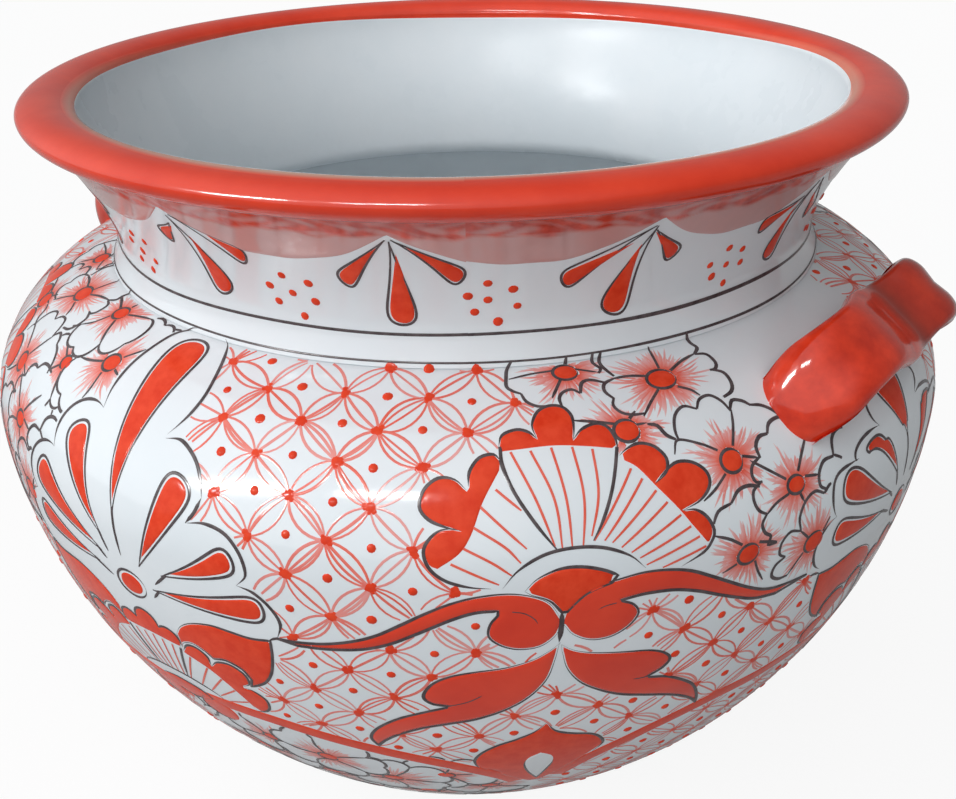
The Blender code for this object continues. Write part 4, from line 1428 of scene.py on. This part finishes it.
# The red sheet on the flare: how far up under the bead it runs, its lift, and the level under which it is
# thin and pale, partly as painted reflection of the white shoulder
FLARE_RED_TUCK = 3.0
FLARE_RED_LIFT = 0.22
THIN_LEVEL = 136.5

# How far the white inside starts below the mouth, how much further it comes up in front, and
# the width of the thin glaze over its edge, at the back and more in front
WHITE_START, WHITE_FRONT_RISE = 1.3, 7.6
THIN_BAND, THIN_BAND_FRONT = 3.0, 6.5
WHITE_LIFT, THIN_BAND_LIFT = 0.26, 0.14

# The rims of the sheets lie this far under the white glaze
SHEET_RIM = 0.01


def scallop_edge(across):
    """The lower edge of the red on the flare: twelve swags with cusps between them."""
    turns = np.array([*CUSPS, CUSPS[0] + WHOLE_TURN])
    where = (across - turns[0]) % WHOLE_TURN + turns[0]
    index = np.clip(np.searchsorted(turns, where, side="right") - 1, 0, SCALLOPS - 1)
    share = (where - turns[index]) / (turns[index + 1] - turns[index])
    wave = waves(across, (0.25, 9.0, 0.0), (0.2, 4.1, 1.0))
    return SCALLOP_LEVEL + SCALLOP_RISE * np.abs(2.0 * share - 1.0) ** SCALLOP_SHARPNESS + wave


def ramp(distance, reach):
    """From 0 to 1 over a reach."""
    return np.clip(distance / reach, 0.0, 1.0)


def lay_sheet(name, across, up, lift, material, fade=None):
    """Lay a thin sheet of glaze right round the pot. up and lift have a row for each across."""
    columns, rows = up.shape
    places = wrap(np.repeat(across, rows), up.ravel(), lift.ravel())
    piece = start_piece(name, bpy.ops.mesh.primitive_grid_add,
                        places.reshape(columns, rows, 3)[:, ::-1].reshape(-1, 3),
                        x_subdivisions=rows - 1, y_subdivisions=columns - 1)
    if fade is not None:
        keep_fade(piece.data, fade[:, ::-1].ravel())
    bpy.ops.object.mode_set(mode="EDIT")
    merge_doubles()
    bpy.ops.object.mode_set(mode="OBJECT")
    settle(piece, material)


def make_flare_red():
    """The red that hangs in scallops from the lip over the flare: thin and pale low down, partly as
    painted reflection of the white shoulder, with pale swirls of painted reflection of the painting
    below, and dark near the lip as painted shade.
    """
    across = np.linspace(0.0, WHOLE_TURN, 901)
    low = scallop_edge(across)[:, None]
    high = LIP_START + FLARE_RED_TUCK
    share = np.concatenate([[0.0, 0.015], np.linspace(0.04, 1.0, 28)])
    up = low + (high - low) * share
    lift = FLARE_RED_LIFT * ramp(up - low, 1.2) ** 0.5 * ramp(high - up, 4.0) - SHEET_RIM
    across = across[:, None]
    ripple = waves(across, (0.8, 7.0, 0.0), (0.6, 2.9, 0.0))
    # Pale swirls: painted reflection of the painting below in the flare's glaze
    reflected_swirl = (np.sin(across / 3.3 + 2.2 * np.sin(up / 2.1 + across / 19.0))
             * np.sin(up / 1.7 + 1.6 * np.sin(across / 5.7)))
    painted_reflection = 0.7 * ramp(0.35 + 0.9 * reflected_swirl, 1.0) * ramp(LIP_START - 1.5 - up, 3.0)
    fade = np.maximum(0.9 * ramp(THIN_LEVEL + ripple - up, 2.0), painted_reflection)
    lay_sheet("flare_scallops", across[:, 0], up, lift, RED_FLARE, fade)


def make_mouth_white():
    """The white of the inside and the thin red over its edge, which come up furthest in front."""
    across = np.linspace(0.0, WHOLE_TURN, 481)
    front = ((0.5 + 0.5 * np.cos(across / BELLY_RADIUS)) ** 1.5)[:, None]
    wander = waves(across, (0.9, 71.0, 0.0), (0.5, 33.0, 1.0))[:, None]
    edge = MOUTH_RUN + WHITE_START - WHITE_FRONT_RISE * front + wander
    up = edge + (RUN[-1] - edge) * np.linspace(0.0, 1.0, 64) ** 1.3
    lift = WHITE_LIFT * ramp(up - edge, 0.6) ** 0.5
    lay_sheet("mouth_white", across, up, lift, WHITE_INSIDE)
    share = np.linspace(0.0, 1.0, 12)
    up = edge + 0.5 - (THIN_BAND + THIN_BAND_FRONT * front) * (1.0 - share)
    lift = THIN_BAND_LIFT * ramp(share, 0.15) ** 0.5 - SHEET_RIM + np.zeros(up.shape)
    fade = 0.95 * front * ramp(share, 0.55)
    lay_sheet("lip_thin_glaze", across, up, lift, RED_THIN, fade)


# Each neck line as (level, share of the sway, width, width where the brush pressed)
NECK_LINES = ((92.0, 1.0, 1.05, 1.45), (82.7, 0.5, 0.75, 1.0))
PRESSED_START, PRESSED_LENGTH = 45.0, 165.0

# The drops under a cusp as (tip, end, half width), across from the cusp: those that the
# photograph shows differ a little, and the others are like the usual ones
USUAL_DROPS = (((-6, 129), (-24, 114), 3.8), ((0, 127), (-2, 96), 6.2), ((6, 129), (26, 115), 3.9))
SEEN_DROPS = {
    0: (((-5, 130), (-23.5, 112.5), 3.8), ((2, 127), (0.5, 96), 6.2), ((6, 131), (28, 115.5), 3.8)),
    1: (((-9, 126), (-37, 111.5), 4.0), ((-5, 125), (-11, 95.5), 6.4), ((-1, 130), (14.5, 116.3), 3.4)),
    2: (((-8, 124), (-33, 118), 3.4), ((-8, 122), (-10, 99), 5.8), ((6, 125), (22, 112), 3.8)),
    11: (((-1, 127), (-11.5, 120.3), 3.4), ((7, 124), (13.5, 99.5), 6.2), ((18, 128), (35, 118), 3.6)),
}
DROP_TOP_LEVEL = 135.0
DOT_CLUSTER = ((9, 112), (20.5, 110), (0, 107.5), (10.5, 104.5), (22, 102.5), (3, 100), (14, 96))


def draw_neck_drop(red, dark, cusp, tip, end, half):
    """One red drop, with a dark outline that runs up to the cusp."""
    tip, end = np.array(tip, float), np.array(end, float)
    red.patch(teardrop(tip, end, 0.88 * half, power=1.05), 0.3, soft=1.2, grid=2.6)
    lead = 0.8 if half > 3.5 else 0.2
    start = tip + lead * np.array([cusp - tip[0], DROP_TOP_LEVEL - tip[1]])
    below = end + 0.6 * (end - tip) / np.linalg.norm(end - tip)
    dark.stroke(closed(teardrop(start, below, half + 0.4, power=1.5)), 0.95, crest=0.3,
                thin=(0.6, 0.6))


def make_neck_band():
    """Two dark lines round the neck, a triplet of drops under each cusp, and dots between."""
    rng = np.random.default_rng(11)
    dark, red, dots = Brush(), Brush(), Brush()
    ring = np.linspace(0.0, WHOLE_TURN, 1000)
    wander = waves(ring, (0.35, 61.0, 0.0), (0.25, 23.0, 1.0))
    for (level, share, fine, broad), sway in zip(NECK_LINES, (wander, wander[::-1])):
        path = np.stack([ring, level + share * sway], -1)
        dark.stroke(path, fine, thin=(1.0, 1.0))
        for turn in FULL:
            start = PRESSED_START + QUARTER * turn
            pressed = (ring > start) & (ring < start + PRESSED_LENGTH)
            dark.stroke(path[pressed], broad, thin=(0.6, 0.6))
    for index, cusp in enumerate(CUSPS):
        drift = np.zeros((3, 2)) if index in SEEN_DROPS else rng.normal(0.0, 1.2, (3, 2))
        for (tip, end, half), nudge in zip(SEEN_DROPS.get(index, USUAL_DROPS), drift):
            draw_neck_drop(red, dark, cusp, (cusp + tip[0] + 0.5 * nudge[0], tip[1]),
                           (cusp + end[0] + nudge[0], end[1] + 0.6 * nudge[1]), half)
        middle = cusp + 0.5 * SCALLOP - 11.5 if index else cusp + 30.0
        for spot in DOT_CLUSTER:
            place = np.array([middle + spot[0], spot[1]]) + rng.normal(0.0, 0.7, 2)
            dots.dot(place, rng.uniform(1.35, 1.75), 0.55, 10)
    dark.make("neck_lines", DARK_LINE, "red_glaze", (0,))
    red.make("neck_drops", RED_BRUSHED, "red_glaze", (0,))
    dots.make("neck_dots", RED_BRUSHED, "red_glaze", (0,))


make_flare_red()
make_mouth_white()
make_neck_band()


# Camera, floor and light

# The photograph's camera. It and the lights are turned to the vase's front by VIEW_TURN.
FOCAL_LENGTH = 46.116
CAMERA_PLACE = (0.31735, -0.40620, 0.41096)
CAMERA_PITCH = math.radians(26.8846)
CAMERA_YAW = math.radians(0.4596)
CAMERA_ROLL = math.radians(-1.0808)
VIEW_TURN = math.radians(38.0)
LAMP_TARGET = Vector((0.0, 0.0, 0.26))
LAMP_DISTANCE = 1.6

FLOOR_SIZE = 14.0
FLOOR_COLOUR = (0.86, 0.86, 0.86, 1.0)
FLOOR_UNDER_GLOSS = (0.34, 0.34, 0.34, 1.0)
FLOOR_WHITE_SHARE = 0.9
GLOSS_SEES_WHITE = 0.25
SKY_COLOUR = (0.97, 0.985, 1.0, 1.0)
SKY_BRIGHT_SIDE = (-52.0, 26.0)
SKY_LEVELS = {"From Min": -0.1, "To Min": 0.08, "To Max": 1.9}


def make_camera():
    """The photograph's view."""
    ahead = Vector((math.sin(CAMERA_YAW) * math.cos(CAMERA_PITCH),
                    math.cos(CAMERA_YAW) * math.cos(CAMERA_PITCH), -math.sin(CAMERA_PITCH)))
    right = Vector((math.cos(CAMERA_YAW), -math.sin(CAMERA_YAW), 0.0))
    up = right.cross(ahead)
    rolled_right = right * math.cos(CAMERA_ROLL) + up * math.sin(CAMERA_ROLL)
    rolled_up = up * math.cos(CAMERA_ROLL) - right * math.sin(CAMERA_ROLL)
    facing = Matrix((rolled_right, rolled_up, -ahead)).transposed()
    data = bpy.data.cameras.new("photo_view")
    data.lens = FOCAL_LENGTH
    data.clip_start = 0.01
    camera = bpy.data.objects.new("photo_view", data)
    camera.matrix_world = (Matrix.Translation(CAMERA_PLACE)
                           @ (Matrix.Rotation(VIEW_TURN, 3, "Z") @ facing).to_4x4())
    bpy.context.scene.collection.objects.link(camera)
    bpy.context.scene.camera = camera


def toward(bearing, height):
    """A direction from the vase. Bearings start at the camera's side, right being positive."""
    turn = VIEW_TURN - math.pi / 2.0 + math.radians(bearing)
    level = math.cos(math.radians(height))
    return Vector((level * math.cos(turn), level * math.sin(turn), math.sin(math.radians(height))))


def strip_lamp(name, start, end, *, width, power):
    """A thin lamp between two directions, each a bearing and a height. It shows in the gloss alone."""
    ends = [LAMP_TARGET + LAMP_DISTANCE * toward(*way) for way in (start, end)]
    place = (ends[0] + ends[1]) / 2.0
    length = (ends[1] - ends[0]).length
    back = (place - LAMP_TARGET).normalized()
    side = back.cross(ends[1] - ends[0]).normalized()
    data = bpy.data.lights.new(name, "AREA")
    data.shape = "RECTANGLE"
    data.size, data.size_y = length, width
    data.energy = power
    lamp = bpy.data.objects.new(name, data)
    turn = Matrix((side.cross(back), side, back)).transposed()
    lamp.matrix_world = Matrix.Translation(place) @ turn.to_4x4()
    lamp.visible_diffuse = False
    bpy.context.scene.collection.objects.link(lamp)


def show_white(tree, own, white, surface):
    """Show the white one of two shaders where the background is seen, and else its own one."""
    path = node_in(tree, "ShaderNodeLightPath", (-700, 500))
    either = node_in(tree, "ShaderNodeMixShader", (450, 100))
    link_all(tree, (seen_directly(tree, path), either.inputs[0]), (own, either.inputs[1]),
             (white, either.inputs[2]), (either.outputs[0], surface))


def seen_directly(tree, path):
    """1 for rays from the camera or through clear matter, and a share for those off gloss."""
    glossy = node_in(tree, "ShaderNodeMath", (-450, 350), {1: GLOSS_SEES_WHITE},
                     operation="MULTIPLY")
    tree.links.new(path.outputs["Is Glossy Ray"], glossy.inputs[0])
    total = path.outputs["Is Camera Ray"]
    for index, ray in enumerate((path.outputs["Is Transmission Ray"], glossy.outputs[0])):
        add = node_in(tree, "ShaderNodeMath", (-250 + 200 * index, 500), operation="MAXIMUM")
        link_all(tree, (total, add.inputs[0]), (ray, add.inputs[1]))
        total = add.outputs[0]
    return total


def make_floor():
    """A wide pale floor that keeps the vase's shadow."""
    clear_selection()
    bpy.ops.mesh.primitive_plane_add(size=FLOOR_SIZE)
    floor = bpy.context.object
    floor.name = "floor"
    material = bpy.data.materials.new("pale_floor")
    material.use_nodes = True
    tree = material.node_tree
    shader = tree.nodes["Principled BSDF"]
    shader.inputs["Base Color"].default_value = FLOOR_COLOUR
    shader.inputs["Roughness"].default_value = 0.9
    shader.inputs["Specular IOR Level"].default_value = 0.1
    dim = node_in(tree, "ShaderNodeBsdfDiffuse", (0, 300), {"Color": FLOOR_UNDER_GLOSS})
    white = node_in(tree, "ShaderNodeEmission", (0, -300))
    lit = node_in(tree, "ShaderNodeMixShader", (250, -100), {0: FLOOR_WHITE_SHARE})
    link_all(tree, (shader.outputs[0], lit.inputs[1]), (white.outputs[0], lit.inputs[2]))
    show_white(tree, dim.outputs[0], lit.outputs[0], tree.nodes["Material Output"].inputs["Surface"])
    floor.data.materials.append(material)


def make_world():
    """A soft studio surround, bright at the upper left and dim at the right, seen as white."""
    world = bpy.data.worlds.new("studio")
    bpy.context.scene.world = world
    world.use_nodes = True
    tree = world.node_tree
    light = tree.nodes["Background"]
    light.inputs["Color"].default_value = SKY_COLOUR
    place = node_in(tree, "ShaderNodeTexCoord", (-900, 0))
    lean = node_in(tree, "ShaderNodeVectorMath", (-700, 0), {1: toward(*SKY_BRIGHT_SIDE)},
                   operation="DOT_PRODUCT")
    level = node_in(tree, "ShaderNodeMapRange", (-500, 0), SKY_LEVELS,
                    interpolation_type="SMOOTHSTEP")
    white = node_in(tree, "ShaderNodeBackground", (0, -200), {"Color": (1.0, 1.0, 1.0, 1.0)})
    link_all(tree, (place.outputs["Generated"], lean.inputs[0]),
             (lean.outputs["Value"], level.inputs["Value"]),
             (level.outputs["Result"], light.inputs["Strength"]))
    show_white(tree, light.outputs[0], white.outputs[0], tree.nodes["World Output"].inputs["Surface"])


make_camera()
make_floor()
make_world()
strip_lamp("lamp_left", (-62.0, 21.0), (-45.0, 33.0), width=0.09, power=28.0)
strip_lamp("lamp_middle", (-32.0, 38.0), (-10.0, 42.0), width=0.06, power=11.0)
bpy.context.scene.view_settings.view_transform = "Standard"
